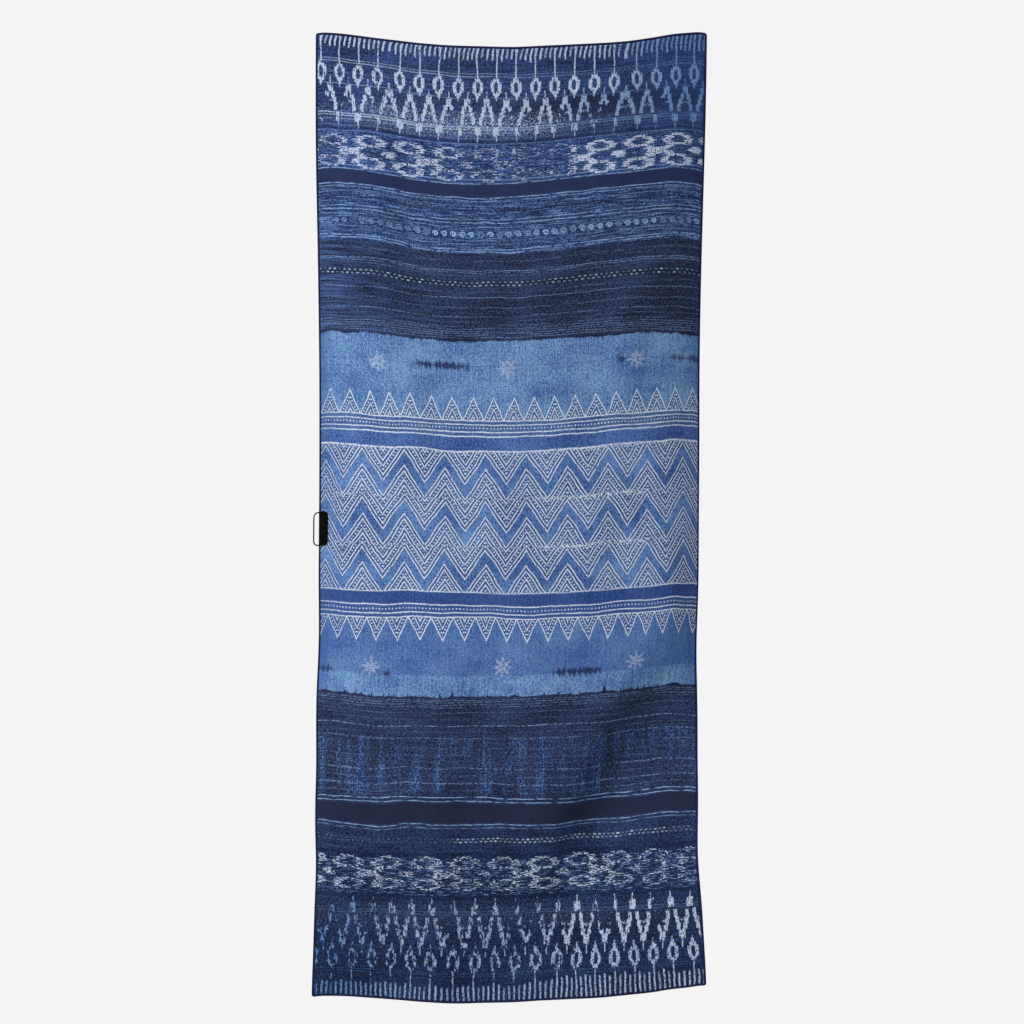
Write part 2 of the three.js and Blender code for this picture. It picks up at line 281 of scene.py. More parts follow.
# Materials: one function turns a colour to linear and one adds a node
def linear(colour):
    """Linear colour of an sRGB hex value."""
    channels = [int(colour[start:start + 2], 16) / 255 for start in (1, 3, 5)]
    curved = [c / 12.92 if c <= 0.04045 else ((c + 0.055) / 1.055) ** 2.4 for c in channels]
    return (*curved, 1.0)


def put(tree, kind, *inputs, **settings):
    """Adds a node with its settings, links or sets its inputs in order, and gives its first output.

    kind is the node's type, and after it, where it has one, its operation."""
    kind, _, operation = kind.partition(" ")
    node = tree.nodes.new("ShaderNode" + kind)
    if operation:
        node.operation = operation
    for name, value in settings.items():
        setattr(node, name, value)
    for socket, value in zip(node.inputs, inputs):
        if isinstance(value, bpy.types.NodeSocket):
            tree.links.new(value, socket)
        elif value is not None:
            socket.default_value = value
    return node.outputs[0]


def any_of(tree, *masks):
    """The strongest of several masks at each place."""
    strongest = masks[0]
    for mask in masks[1:]:
        strongest = put(tree, "Math MAXIMUM", strongest, mask)
    return strongest


def all_of(tree, *masks):
    """What several masks and strengths leave when each one weakens the others."""
    left = masks[0]
    for mask in masks[1:]:
        left = put(tree, "Math MULTIPLY", left, mask)
    return left


# Indigo print colours, from the deepest dye to the bare print
MIDNIGHT = "#1B2238"
SMEAR = "#222B4C"
WAX_SHADOW = "#243F7E"
MIST = "#86ADE0"
PALE_DYE = "#9CC0EE"
THREAD = "#B4C4DC"
BONE = "#CBD9F2"
CHALK = "#E6F3FF"


def threads(tree, place, across, down, detail, shift):
    """Unevenness with a grain of the given millimetres across and down."""
    shifts = (shift, shift * 0.7, 0)
    scaled = put(tree, "VectorMath MULTIPLY_ADD", place, (1 / across, 1 / down, 0), shifts)
    return put(tree, "TexNoise", scaled, None, 1.0, detail, 0.55, noise_dimensions="2D")


def grey(value):
    return (value, value, value, 1.0)


def read_chart(tree, at, start, end, rows, interpolation="LINEAR"):
    """Reads charted rows of a place and a colour along a coordinate."""
    share = put(tree, "MapRange", at, start, end)
    chart = put(tree, "ValToRGB", share)
    ramp = chart.node.color_ramp
    ramp.interpolation = interpolation
    for stop, (place, colour) in enumerate(rows):
        position = min(max((place - start) / (end - start), 0.0), 1.0)
        element = ramp.elements[stop] if stop < 2 else ramp.elements.new(position)
        element.position = position
        element.color = colour
    return chart


def read_values(tree, at, start, end, rows):
    """Reads charted rows of a place and a plain value along a coordinate."""
    return read_chart(tree, at, start, end, [(place, grey(value)) for place, value in rows])


def printed_lines(tree, down, rows, start, end):
    """Mask of level printed lines between two downs, from each one's down, width and strength."""
    stops = [(start, grey(0.0))]
    for middle, width, strength in rows:
        stops.append((middle - width, grey(0.0)))
        stops.append((middle, grey(strength)))
        stops.append((middle + width, grey(0.0)))
    stops.append((end, grey(0.0)))
    return read_chart(tree, down, start, end, stops, "EASE")


def stripe(tree, down, start, end):
    """Mask of a plain stripe between two downs."""
    after_start = put(tree, "MapRange", down, start - 0.8, start + 0.8)
    before_end = put(tree, "MapRange", down, end + 0.8, end - 0.8)
    return all_of(tree, after_start, before_end)


def faded(tree, across, rows):
    """Strength of a print over the width, by chart rows of a distance from the left edge."""
    return read_values(tree, across, 0.0, TOWEL_WIDTH, rows)


def laid_over(tree, ground, colour, mask):
    """The ground with a colour printed over it where the mask is."""
    tone = linear(colour) if isinstance(colour, str) else colour
    return put(tree, "MixRGB", mask, ground, tone)


def broken(tree, mask, unevenness, low, high):
    """A print mask worn away where the threads' unevenness is low."""
    return all_of(tree, mask, put(tree, "MapRange", unevenness, low, high))


def lined(tree, down, ground, colour, parts, *wears):
    """A ground with level lines printed over it, each wear breaking them by its own unevenness.

    parts are rows of lines, each with the two downs that they lie between."""
    mask = any_of(tree, *(printed_lines(tree, down, *part) for part in parts))
    for wear in wears:
        mask = broken(tree, mask, *wear)
    return laid_over(tree, ground, colour, mask)


def worn_by_strength(tree, mask, unevenness, strength):
    """A print mask that is whole where its strength is 1 and left only in flecks where it is 0."""
    need = put(tree, "MapRange", strength, 0.0, 1.0, 0.70, 0.30)
    over = put(tree, "Math SUBTRACT", unevenness, need)
    return broken(tree, mask, over, -0.04, 0.05)


def cells(tree, along, pitch):
    """Cuts a coordinate into cells: each one's own random value, and the way from its middle."""
    share = put(tree, "Math DIVIDE", along, pitch)
    number = put(tree, "Math FLOOR", share)
    own = put(tree, "TexWhiteNoise", None, number, noise_dimensions="1D")
    cell = put(tree, "Math FRACT", share)
    return own, put(tree, "Math MULTIPLY_ADD", cell, pitch, -pitch / 2)


def distance_from(tree, along, beside):
    """Distance of a place from a motif's middle, from its way along and beside it."""
    offset = put(tree, "CombineXYZ", along, beside)
    return put(tree, "VectorMath LENGTH", offset).node.outputs["Value"]


def dot_row(tree, along, beside, pitch, radius, faintest):
    """Mask of printed dots in a row, each of its own strength from the faintest to 1."""
    own, from_dot = cells(tree, along, pitch)
    distance = distance_from(tree, from_dot, beside)
    dot = put(tree, "MapRange", distance, radius + 0.6, radius - 0.6)
    return all_of(tree, dot, put(tree, "MapRange", own, 0.0, 1.0, faintest, 1.0))


def slanted_dots(tree, beside, fall, slope, past, pitch, radius):
    """Mask of dots along slanted lines, from how far past its line a place lies, straight down."""
    slant = math.hypot(1.0, slope)
    along = put(tree, "Math MULTIPLY", fall, slope / slant)
    along = put(tree, "Math MULTIPLY_ADD", beside, 1 / slant, along)
    off_row = put(tree, "Math MULTIPLY", past, 1 / slant)
    return dot_row(tree, along, off_row, pitch, radius, 0.6)


# Unevenness of the cloth's threads: millimetres across and down, detail and shift of its noise
UNEVENNESS = {
    "Weft": (85.0, 2.2, 2.0, 3.1),
    "Warp": (2.2, 60.0, 2.0, 17.3),
    "Cloud": (105.0, 70.0, 3.0, 31.7),
}
# Canvas of both threads: weight, millimetres across and down, and shift
CANVAS = [(1.0, 5.5, 2.0, 61.3), (1.0, 2.0, 6.5, 67.1), (1.5, 2.0, 2.0, 53.9)]


def worn_threads():
    """Node group of what every band of the worn print shares: its threads' unevenness.

    Weft runs across, warp runs down, and grain is the canvas of both, drawn a little coarser than
    real threads so that it shows."""
    group = bpy.data.node_groups.new("worn threads", "ShaderNodeTree")
    group.interface.new_socket("Place", in_out="INPUT", socket_type="NodeSocketVector")
    place = group.nodes.new("NodeGroupInput").outputs["Place"]
    wander = put(group, "VectorMath MULTIPLY", place, (1 / 60, 1 / 48, 0))
    noise = put(group, "TexNoise", wander, None, 1.0, 3.0, 0.55, noise_dimensions="2D").node
    centred = put(group, "VectorMath SUBTRACT", noise.outputs["Color"], (0.5, 0.5, 0.5))
    drawn = put(group, "VectorMath MULTIPLY_ADD", centred, (7.0, 6.0, 0.0), place)
    parts = put(group, "SeparateXYZ", drawn).node
    canvas = 0.0
    for weight, across, down, shift in CANVAS:
        flecks = threads(group, place, across, down, 0.0, shift)
        canvas = put(group, "Math MULTIPLY_ADD", flecks, weight, canvas)
    values = {"Across": parts.outputs["X"], "Down": parts.outputs["Y"]}
    values["Grain"] = put(group, "MapRange", canvas, 1.15, 2.35)
    for name, sizes in UNEVENNESS.items():
        values[name] = threads(group, place, *sizes)
    group.interface.new_socket("Drawn", in_out="OUTPUT", socket_type="NodeSocketVector")
    for name in values:
        group.interface.new_socket(name, in_out="OUTPUT", socket_type="NodeSocketFloat")
    last = group.nodes.new("NodeGroupOutput")
    group.links.new(drawn, last.inputs["Drawn"])
    for name, value in values.items():
        group.links.new(value, last.inputs[name])
    return group


def dyed(tree, cloth, dark, light, base, weft, warp, cloud, grain):
    """Ground colour between two dyes: its base share, and how much each unevenness moves it."""
    total = base
    moves = ((cloth.weft, weft), (cloth.warp, warp), (cloth.cloud, cloud), (cloth.grain, grain))
    for unevenness, strength in moves:
        centred = put(tree, "Math SUBTRACT", unevenness, 0.5)
        total = put(tree, "Math MULTIPLY_ADD", centred, strength, total)
    share = put(tree, "MapRange", total, 0.0, 1.0)
    return laid_over(tree, linear(dark), light, share)


# Warp-ikat charts: down where a row starts, and the middle and half width of its dyed threads,
# counted from the middle of a peak. Rings lie half a repeat away from the peaks.
IKAT_REPEAT = 37.9
PEAK_AT = 28.9
NOWHERE = 80.0
RING_CHART = [
    (0, 18.95, 1.1), (61.5, 18.95, 1.1), (62, 18.95, 5.4), (67, 18.95, 5.6), (67.5, 12.9, 3.7),
    (71, 11.7, 3.2), (84, 12.2, 3.2), (88, 13.2, 3.7), (88.5, 18.95, 6.2), (94.5, 18.95, 5.6),
    (95, 18.95, 2.8), (99, 18.95, 2.6), (99.5, 18.95, 1.0), (105, NOWHERE, 0),
]
PEAK_CHART = [
    (0, NOWHERE, 0), (88, 0, 1.0), (100, NOWHERE, 0), (102, 0, 5.4), (116, 0, 5.6), (116.5, 6.2, 3.7),
    (126, 7.2, 3.5), (126.5, 9.0, 3.4), (137, 11.5, 3.3), (150, NOWHERE, 0), (155, 18.95, 6.0),
    (170, 18.95, 5.8), (170.5, 18.95, 1.0), (183, NOWHERE, 0),
]
CROSSBAR_CHART = [(0, NOWHERE, 0), (131, 0, 7.5), (135, NOWHERE, 0)]
IKAT_LINES = [
    (53, 1.6, 0.55), (58, 1.6, 0.75), (79, 1.4, 0.2), (100.5, 1.6, 0.45), (155.5, 1.9, 1.0),
    (160, 1.9, 1.0), (166.5, 1.6, 0.4), (178, 1.5, 0.25),
]
IKAT_DARK_LINES = [(155.8, 0.9, 0.8), (161.5, 1.6, 0.8), (183.5, 2.2, 0.6)]
COMB_PITCH = IKAT_REPEAT / 4
DRIFT_SPAN = 80.0
FIRST_TICK = 9.9
TICK_UNIT = 50.0
THREAD_PITCH = 1.9
WARP_SLIP = 4.0
WEFT_SLIP = 8.0
IKAT_SNOW = [(0, 0), (124, 0.1), (150, 1), (172, 0.5), (182, 0)]
DYED_BLUE = "#5F8CC4"


def charted_motif(tree, across, down, chart):
    """Mask of a charted motif, mirrored about its middle, from a row for each stretch down."""
    rows = [(place, (middle / NOWHERE, half / NOWHERE, 0.0, 1.0)) for place, middle, half in chart]
    chart_row = read_chart(tree, down, chart[0][0], chart[-1][0] + 20, rows, "CONSTANT")
    row = put(tree, "SeparateXYZ", chart_row).node
    middle = put(tree, "Math MULTIPLY", row.outputs["X"], NOWHERE)
    half = put(tree, "Math MULTIPLY", row.outputs["Y"], NOWHERE)
    beside = put(tree, "Math ABSOLUTE", put(tree, "Math SUBTRACT", across, middle))
    past = put(tree, "Math SUBTRACT", beside, half)
    return put(tree, "MapRange", past, 0.8, -0.6)


def drifted(tree, across, drifts):
    """Across with motifs moved right of their even spacing by chart rows of millimetres."""
    drift = faded(tree, across, [(place, drift / DRIFT_SPAN + 0.5) for place, drift in drifts])
    evened = put(tree, "Math MULTIPLY_ADD", drift, -DRIFT_SPAN, across)
    return put(tree, "Math ADD", evened, DRIFT_SPAN / 2)


def comb_ticks(tree, across, down, lean, reach):
    """Mask of the short ticks that hang from the end edge, each of its own length.

    lean is how far their tops stand to the right, and reach their least length over TICK_UNIT."""
    high = put(tree, "MapRange", down, 0.0, 26.0, 1.0, 0.0)
    bent = put(tree, "Math POWER", high, 2.0)
    from_first = put(tree, "Math SUBTRACT", across, FIRST_TICK)
    leaning = put(tree, "Math MULTIPLY_ADD", bent, -lean, from_first)
    shares = put(tree, "Math DIVIDE", leaning, COMB_PITCH)
    tick = put(tree, "Math ROUND", shares)
    own = put(tree, "TexWhiteNoise", None, tick, noise_dimensions="1D")
    beside = put(tree, "Math ABSOLUTE", put(tree, "Math SUBTRACT", shares, tick))
    narrow = put(tree, "MapRange", beside, 0.24, 0.12)
    least = put(tree, "Math MULTIPLY", reach, TICK_UNIT)
    foot = put(tree, "Math MULTIPLY_ADD", own, 8.0, least)
    ended = put(tree, "MapRange", put(tree, "Math SUBTRACT", down, foot), 2.0, -2.0)
    return all_of(tree, narrow, ended, put(tree, "MapRange", own, 0.0, 0.6, 0.6, 1.0))


def kept_arms(tree, from_peak, down):
    """Strength that leaves out some of the peaks' arms, half a peak at a time, but not their tops."""
    half_own, _ = cells(tree, from_peak, IKAT_REPEAT / 2)
    arms = put(tree, "MapRange", half_own, 0.22, 0.34, 0.1, 1.0)
    return any_of(tree, arms, put(tree, "MapRange", down, 127.0, 121.0))


def ikat_lines(tree, cloth, down, ground, over):
    """A ground with a warp ikat's fine weft lines and the snow of loose flecks along two of them."""
    lines = printed_lines(tree, down, IKAT_LINES, 40, 190)
    lines = broken(tree, lines, cloth.weft, 0.2, 0.45)
    lines = broken(tree, lines, cloth.grain, 0.05, 0.35)
    lines = all_of(tree, lines, over["lines"])
    snow = all_of(tree, read_values(tree, down, 0, 200, IKAT_SNOW), over["snow"])
    snow = broken(tree, snow, threads(tree, cloth.drawn, 4.5, 1.9, 1.0, 29.0), 0.53, 0.62)
    ground = lined(tree, down, ground, MIDNIGHT, [(IKAT_DARK_LINES, 140, 190)])
    line_colour = laid_over(tree, linear(CHALK), "#5C93D6", over["line_blues"])
    ground = laid_over(tree, ground, line_colour, lines)
    return laid_over(tree, ground, "#B9CDF0", snow)


def ikat_rings(tree, cloth, down, ground, drifts, lean, rubbed, charts):
    """Band of rings and stepped peaks whose warp threads were dyed before weaving.

    drifts is how far the motifs stand right of even spacing, lean slants the ticks, and rubbed is how
    far the grain wears the motifs. charts holds more rows over the width: the reach of the ticks, the
    strengths of rings, peaks, lines and snow, and how blue the rings, the peaks and the lines are."""
    over = {name: faded(tree, cloth.across, rows) for name, rows in charts.items()}
    across = drifted(tree, cloth.across, drifts)
    thread = put(tree, "Math SNAP", across, THREAD_PITCH)
    own = put(tree, "TexWhiteNoise", None, thread, noise_dimensions="1D")
    stepped = put(tree, "Math MULTIPLY_ADD", own, WARP_SLIP, down)
    stepped = put(tree, "Math SUBTRACT", stepped, WARP_SLIP / 2)
    from_peak = put(tree, "Math SUBTRACT", across, PEAK_AT)
    folded = put(tree, "Math PINGPONG", from_peak, IKAT_REPEAT / 2)
    wear = threads(tree, cloth.drawn, 5.0, 11.0, 2.0, 83.0)
    rings = charted_motif(tree, folded, stepped, RING_CHART)
    rings = worn_by_strength(tree, rings, wear, over["rings"])
    rings = any_of(tree, rings, comb_ticks(tree, across, down, lean, over["ticks"]))
    bars = all_of(tree, charted_motif(tree, folded, stepped, CROSSBAR_CHART), 0.6)
    peaks = any_of(tree, charted_motif(tree, folded, stepped, PEAK_CHART), bars)
    strong = all_of(tree, kept_arms(tree, from_peak, down), over["peaks"])
    peaks = worn_by_strength(tree, peaks, wear, strong)
    ground = ikat_lines(tree, cloth, down, ground, over)
    for motifs, blues in ((peaks, over["peak_blues"]), (rings, over["ring_blues"])):
        colour = laid_over(tree, linear(BONE), DYED_BLUE, blues)
        ground = laid_over(tree, ground, colour, broken(tree, motifs, cloth.grain, 0.06, rubbed))
    return ground


def upper_rings(tree, cloth):
    down = cloth.down
    ground = dyed(tree, cloth, "#1B2546", "#4A6BAE", 0.24, 1.3, 0.4, 0.6, 0.9)
    gaps = read_values(tree, down, 90, 190, [(96, 0), (112, 0.8), (142, 0.8), (152, 0)])
    right = faded(tree, cloth.across, [(330, 0.15), (440, 0.9), (762, 0.8)])
    ground = laid_over(tree, ground, MIDNIGHT, all_of(tree, gaps, right))
    # Painted light: the ring band's ground is made lighter towards the right edge, standing in for
    # light on the folds there
    painted_light_right = put(tree, "MapRange", cloth.across, 560.0, 700.0, 0.0, 0.3)
    ground = laid_over(tree, ground, "#33568F", painted_light_right)
    drifts = [
        (0, 0), (135, 0), (155, 5.7), (280, 4.3), (350, 1.5), (480, 0.5), (592, 0), (608, 7.4),
        (762, 7.4),
    ]
    return ikat_rings(tree, cloth, down, ground, drifts, 5.0, 0.36, {
        "ticks": [(0, 0.42), (500, 0.44), (590, 0.54), (762, 0.54)],
        "rings": [(0, 0.85), (60, 0.8), (130, 0.75), (160, 1.0), (762, 1.0)],
        "peaks": [(0, 0.82), (150, 0.82), (220, 0.98), (762, 0.98)],
        "lines": [(0, 1), (330, 0.9), (520, 0.6), (762, 0.45)],
        "line_blues": [(0, 0.6), (100, 0.35), (330, 0.6), (500, 0.85), (762, 0.85)],
        "snow": [(40, 0.1), (190, 0.9), (440, 0.9), (500, 0.15), (762, 0.05)],
        "ring_blues": [(0, 0.1), (540, 0.1), (640, 0.7), (762, 0.9)],
        "peak_blues": [(0, 0.15), (450, 0.15), (520, 0.6), (640, 0.75), (762, 1.0)],
    })


# Where the lower band of rings, mirrored and drawn longer, holds the places of the upper one
RING_SPAN = 200.0
LOWER_RING_PLACES = [
    (1625, 194), (1640, 183), (1661, 164), (1722, 112), (1760, 82), (1780, 63), (TOWEL_LENGTH, 0),
]


def lower_rings(tree, cloth):
    places = [(down, mirrored / RING_SPAN) for down, mirrored in LOWER_RING_PLACES]
    share = read_values(tree, cloth.down, 1620, TOWEL_LENGTH, places)
    mirrored = put(tree, "Math MULTIPLY", share, RING_SPAN)
    ground = dyed(tree, cloth, "#131930", "#345188", 0.15, 1.0, 0.6, 0.7, 1.2)
    drifts = [
        (0, -10), (226, -9), (270, -3), (311, 0), (351, 1), (391, 2.3), (431, 5), (470, 9.9),
        (762, 9.9),
    ]
    return ikat_rings(tree, cloth, mirrored, ground, drifts, 0.0, 0.55, {
        "ticks": [(0, 0.5), (430, 0.6), (480, 0.82), (690, 0.82), (705, 0.6), (762, 0.6)],
        "rings": [(0, 0.38), (110, 0.5), (240, 0.56), (440, 0.58), (510, 0.72), (762, 0.92)],
        "peaks": [(0, 0.5), (110, 0.56), (240, 0.62), (440, 0.6), (510, 0.95), (762, 1.0)],
        "lines": [(0, 0.2), (762, 0.25)],
        "line_blues": [(0, 1.0), (762, 0.9)],
        "snow": [(0, 0.1), (200, 0.12), (500, 0.12), (762, 0.05)],
        "ring_blues": [(0, 1.0), (80, 0.9), (180, 0.55), (440, 0.5), (510, 0.3), (762, 0.15)],
        "peak_blues": [(0, 1.0), (80, 0.8), (180, 0.45), (440, 0.4), (510, 0.15), (762, 0.1)],
    })


# Weft-ikat chart of the hexagons, laid out as the warp-ikat charts are
HEXAGON_REPEAT = 75.8
HEXAGON_AT = 105.0
HEXAGON_MIRROR = 1820.0
HEXAGON_CHART = [
    (180, NOWHERE, 0), (195, 0, 12), (199, 17, 8), (203.5, 24, 7), (208.5, 20, 8), (213, 9, 10),
    (217.5, NOWHERE, 0), (221, 37.9, 10), (225, 37.9, 13), (230, 37.9, 7), (234, NOWHERE, 0),
    (237, 11, 9), (242, 22, 8), (247, 24.5, 7), (252, 17, 8), (257, 0, 13), (261.5, NOWHERE, 0),
]
HEXAGON_LINK_CHART = [(0, NOWHERE, 0), (218, 19, 8), (223, 12, 8), (230, 18, 8), (237, NOWHERE, 0)]


def ikat_hexagons(tree, cloth, down, ground, drifts, strengths):
    """Band of hexagons whose weft threads were dyed, shown as broken level dashes."""
    across = drifted(tree, cloth.across, drifts)
    thread = put(tree, "Math SNAP", down, THREAD_PITCH)
    own = put(tree, "TexWhiteNoise", None, thread, noise_dimensions="1D")
    pulled = put(tree, "Math MULTIPLY_ADD", own, WEFT_SLIP, across)
    from_middle = put(tree, "Math SUBTRACT", pulled, HEXAGON_AT + WEFT_SLIP / 2)
    folded = put(tree, "Math PINGPONG", from_middle, HEXAGON_REPEAT / 2)
    from_pair = put(tree, "Math ADD", from_middle, HEXAGON_REPEAT / 2)
    paired = put(tree, "Math PINGPONG", from_pair, HEXAGON_REPEAT)
    links = charted_motif(tree, paired, down, HEXAGON_LINK_CHART)
    motifs = any_of(tree, charted_motif(tree, folded, down, HEXAGON_CHART), links)
    dashes = threads(tree, cloth.drawn, 8.0, 1.9, 1.0, 71.0)
    motifs = worn_by_strength(tree, motifs, dashes, faded(tree, cloth.across, strengths))
    motifs = broken(tree, motifs, cloth.grain, 0.06, 0.4)
    streaks = threads(tree, cloth.drawn, 18.0, 1.9, 1.0, 77.0)
    loose = put(tree, "MapRange", streaks, 0.56, 0.7, 0.0, 0.8)
    loose = all_of(tree, loose, stripe(tree, down, 186.0, 258.0))
    loose = broken(tree, loose, cloth.grain, 0.1, 0.5)
    ground = laid_over(tree, ground, "#7E9FD0", loose)
    return laid_over(tree, ground, BONE, motifs)


def upper_hexagons(tree, cloth):
    ground = dyed(tree, cloth, "#1A284F", "#4F72B2", 0.23, 1.4, 0.4, 0.5, 1.0)
    ground = lined(tree, cloth.down, ground, MIST, [([(188, 1.6, 0.35), (257, 1.8, 0.6)], 185, 263)])
    strengths = [
        (0, 0.3), (50, 0.5), (80, 0.75), (200, 0.7), (300, 0.4), (400, 0.2), (490, 0.2), (515, 0.95),
        (740, 0.8),
    ]
    drifts = [(0, 5), (430, 5), (500, -6), (762, -6)]
    return ikat_hexagons(tree, cloth, cloth.down, ground, drifts, strengths)


def lower_hexagons(tree, cloth):
    mirrored = put(tree, "Math SUBTRACT", HEXAGON_MIRROR, cloth.down)
    ground = dyed(tree, cloth, "#131A31", "#345188", 0.13, 1.1, 0.5, 0.7, 1.2)
    strengths = [
        (0, 0.5), (60, 0.45), (80, 0.25), (105, 0.5), (150, 0.42), (180, 0.3), (225, 0.5), (330, 0.3),
        (400, 0.4), (430, 0.6), (480, 0.45), (560, 0.45), (640, 0.3), (762, 0.25),
    ]
    half_repeat = HEXAGON_REPEAT / 2
    drifts = [(0, half_repeat), (TOWEL_WIDTH, half_repeat)]
    return ikat_hexagons(tree, cloth, mirrored, ground, drifts, strengths)


STRIPE_LINES = [
    (264, 1.4, 0.7), (291, 1.6, 0.8), (296, 1.4, 0.6), (305, 1.4, 0.25), (331, 1.5, 0.7),
    (337.5, 1.6, 0.85),
]
MIST_LINES = [
    (346, 1.4, 0.35), (353, 1.3, 0.2), (372, 1.5, 0.3), (379, 1.4, 0.25), (389, 1.7, 0.85),
    (394, 1.7, 0.8),
]
STRIPE_DARK_LINES = [
    (293.5, 1.1, 0.6), (301, 1.3, 0.5), (314, 3.2, 0.6), (334.3, 1.5, 0.8), (341.5, 1.6, 0.6),
]
CURL_DOWN = 361.0
CURL_PITCH = 17.6


def curls(tree, across, down):
    """Mask of a row of small printed curls, each a hooked ring of its own strength and turn."""
    own, along = cells(tree, across, CURL_PITCH)
    beside = put(tree, "Math SUBTRACT", down, CURL_DOWN)
    radius = distance_from(tree, along, beside)
    angle = put(tree, "Math ARCTAN2", beside, along)
    turned = put(tree, "Math MULTIPLY_ADD", own, 2.2, angle)
    wound = put(tree, "Math MULTIPLY_ADD", turned, 0.62, radius)
    turns = [(0, 1), (1.4, 1), (2.2, 0), (3.2, 0), (4.0, 1), (5.6, 1), (6.5, 0)]
    reach = put(tree, "MapRange", radius, 7.4, 6.4)
    strength = put(tree, "MapRange", own, 0.1, 0.6, 0.35, 1.0)
    return all_of(tree, read_values(tree, wound, 0, 9, turns), reach, strength)


def denim_lines(tree, cloth):
    """Denim blue band of fine weft lines, with a plain dark stripe and a row of curls."""
    ground = dyed(tree, cloth, "#1A264B", "#4D70AC", 0.27, 1.0, 0.9, 0.8, 1.5)
    long_wefts = threads(tree, cloth.drawn, 45.0, 1.6, 1.0, 41.0)
    pale_wefts = put(tree, "MapRange", long_wefts, 0.57, 0.66, 0.0, 0.75)
    pale_wefts = broken(tree, pale_wefts, cloth.grain, 0.1, 0.5)
    ground = laid_over(tree, ground, "#7FA3D8", pale_wefts)
    dark_wefts = put(tree, "MapRange", long_wefts, 0.4, 0.28, 0.0, 0.7)
    ground = laid_over(tree, ground, "#1A2444", dark_wefts)
    ground = lined(tree, cloth.down, ground, MIDNIGHT, [(STRIPE_DARK_LINES, 285, 345)])
    parts = [(STRIPE_LINES, 259, 343), (MIST_LINES, 343, 400)]
    dashes = threads(tree, cloth.drawn, 12.0, 4.0, 1.0, 27.0)
    wears = [(cloth.weft, 0.2, 0.5), (dashes, 0.32, 0.5)]
    ground = lined(tree, cloth.down, ground, PALE_DYE, parts, *wears)
    strength = faded(tree, cloth.across, [(0, 0.35), (190, 0.35), (215, 1.0), (762, 0.9)])
    scroll = all_of(tree, curls(tree, cloth.across, cloth.down), strength)
    scroll = broken(tree, scroll, cloth.grain, 0.0, 0.25)
    ground = laid_over(tree, ground, "#A6CBF6", scroll)
    plain = dyed(tree, cloth, "#222A4C", "#313E68", 0.45, 0.3, 0.3, 0.5, 0.3)
    return laid_over(tree, ground, plain, stripe(tree, cloth.down, 265.5, 289.0))


DARK_LINES = [
    (412, 1.3, 0.3), (430.5, 1.4, 0.8), (434.5, 1.4, 0.7), (440, 1.3, 0.25), (471, 1.3, 0.2),
    (481.5, 1.4, 0.55), (501, 1.3, 0.35), (518, 1.3, 0.55), (527, 1.2, 0.2),
]
DARK_LOW_LINES = [
    (536, 1.2, 0.35), (541, 1.3, 0.55), (545.5, 1.3, 0.5), (549.5, 1.3, 0.55), (553.5, 1.3, 0.55),
    (558, 1.3, 0.6),
]
CHAIN_DOWN = 455.5
CHAIN_PITCH = 10.8


def chain(tree, cloth, at, drop, pitch):
    """Mask of two rows of small uneven dashes set turn and turn about."""
    rows = []
    for side in (0, 1):
        off_row = put(tree, "Math SUBTRACT", cloth.down, at + (side - 0.5) * drop)
        flat = put(tree, "Math MULTIPLY", off_row, 2.0)
        shifted = put(tree, "Math ADD", cloth.across, side * pitch / 2)
        rows.append(dot_row(tree, shifted, flat, pitch, 3.1, 0.2))
    return broken(tree, any_of(tree, *rows), cloth.grain, 0.1, 0.45)


def dark_lines(tree, cloth):
    """Deep indigo band of faint weft lines, with a chain of small dashes."""
    ground = dyed(tree, cloth, "#181D2D", "#42537E", 0.36, 1.1, 0.4, 1.0, 1.3)
    left = faded(tree, cloth.across, [(0, 0.75), (60, 0.45), (190, 0.1), (330, 0.0), (762, 0.0)])
    ground = laid_over(tree, ground, "#42619C", broken(tree, left, cloth.weft, 0.42, 0.62))
    parts = [(DARK_LINES, 398, 530), (DARK_LOW_LINES, 530, 566)]
    wears = [(cloth.grain, 0.15, 0.5), (cloth.weft, 0.3, 0.52)]
    ground = lined(tree, cloth.down, ground, "#8FB0DE", parts, *wears)
    ground = lined(tree, cloth.down, ground, "#151B2C", [([(CHAIN_DOWN, 9.0, 0.75)], 440, 472)])
    return laid_over(tree, ground, "#A9C4E8", chain(tree, cloth, CHAIN_DOWN, 5.4, CHAIN_PITCH))


# Light fields
TOOTH_SLOPE = 2.24
TOOTH_HEIGHT = 46.0
TOOTH_LINES = [(2.0, 4.6, 1.0), (24.0, 4.2, 0.9), (37.5, 4.4, 0.95)]
TOOTH_DOTS = 13.0
SMEAR_HALF = 5.0
UPPER_END_LINE = (776.5, 2.2, 1.0)

# Each field's print: the downs of its edge, smears, dots and the teeth's points, the way it stands,
# its strip's two ends, its stars' start, pitch and down, and its teeth's start and pitch
UPPER_FIELD = SimpleNamespace(
    edge=563.0,
    way=1.0,
    smears_down=613.0,
    smears=[
        (0, 0), (196, 0), (206, 0.95), (296, 0.9), (306, 0), (585, 0), (590, 0.9), (600, 0.8),
        (606, 0), (690, 0), (702, 0.8), (762, 0.8),
    ],
    faint_lines=[(613, 1.8, 0.35)],
    stars=(124.0, 250.0, 616.0),
    strip=(750.0, 790.0),
    border=[(719, 1.9, 1.0), (727, 1.9, 0.95), (740.5, 2.0, 1.0), (748.5, 2.0, 1.0)],
    dots_down=733.5,
    points=672.5,
    teeth=(23.0, 40.1),
    teeth_drifts=[(0, 1.5), (60, 4), (350, 4), (430, 2), (470, 0), (762, 0)],
)
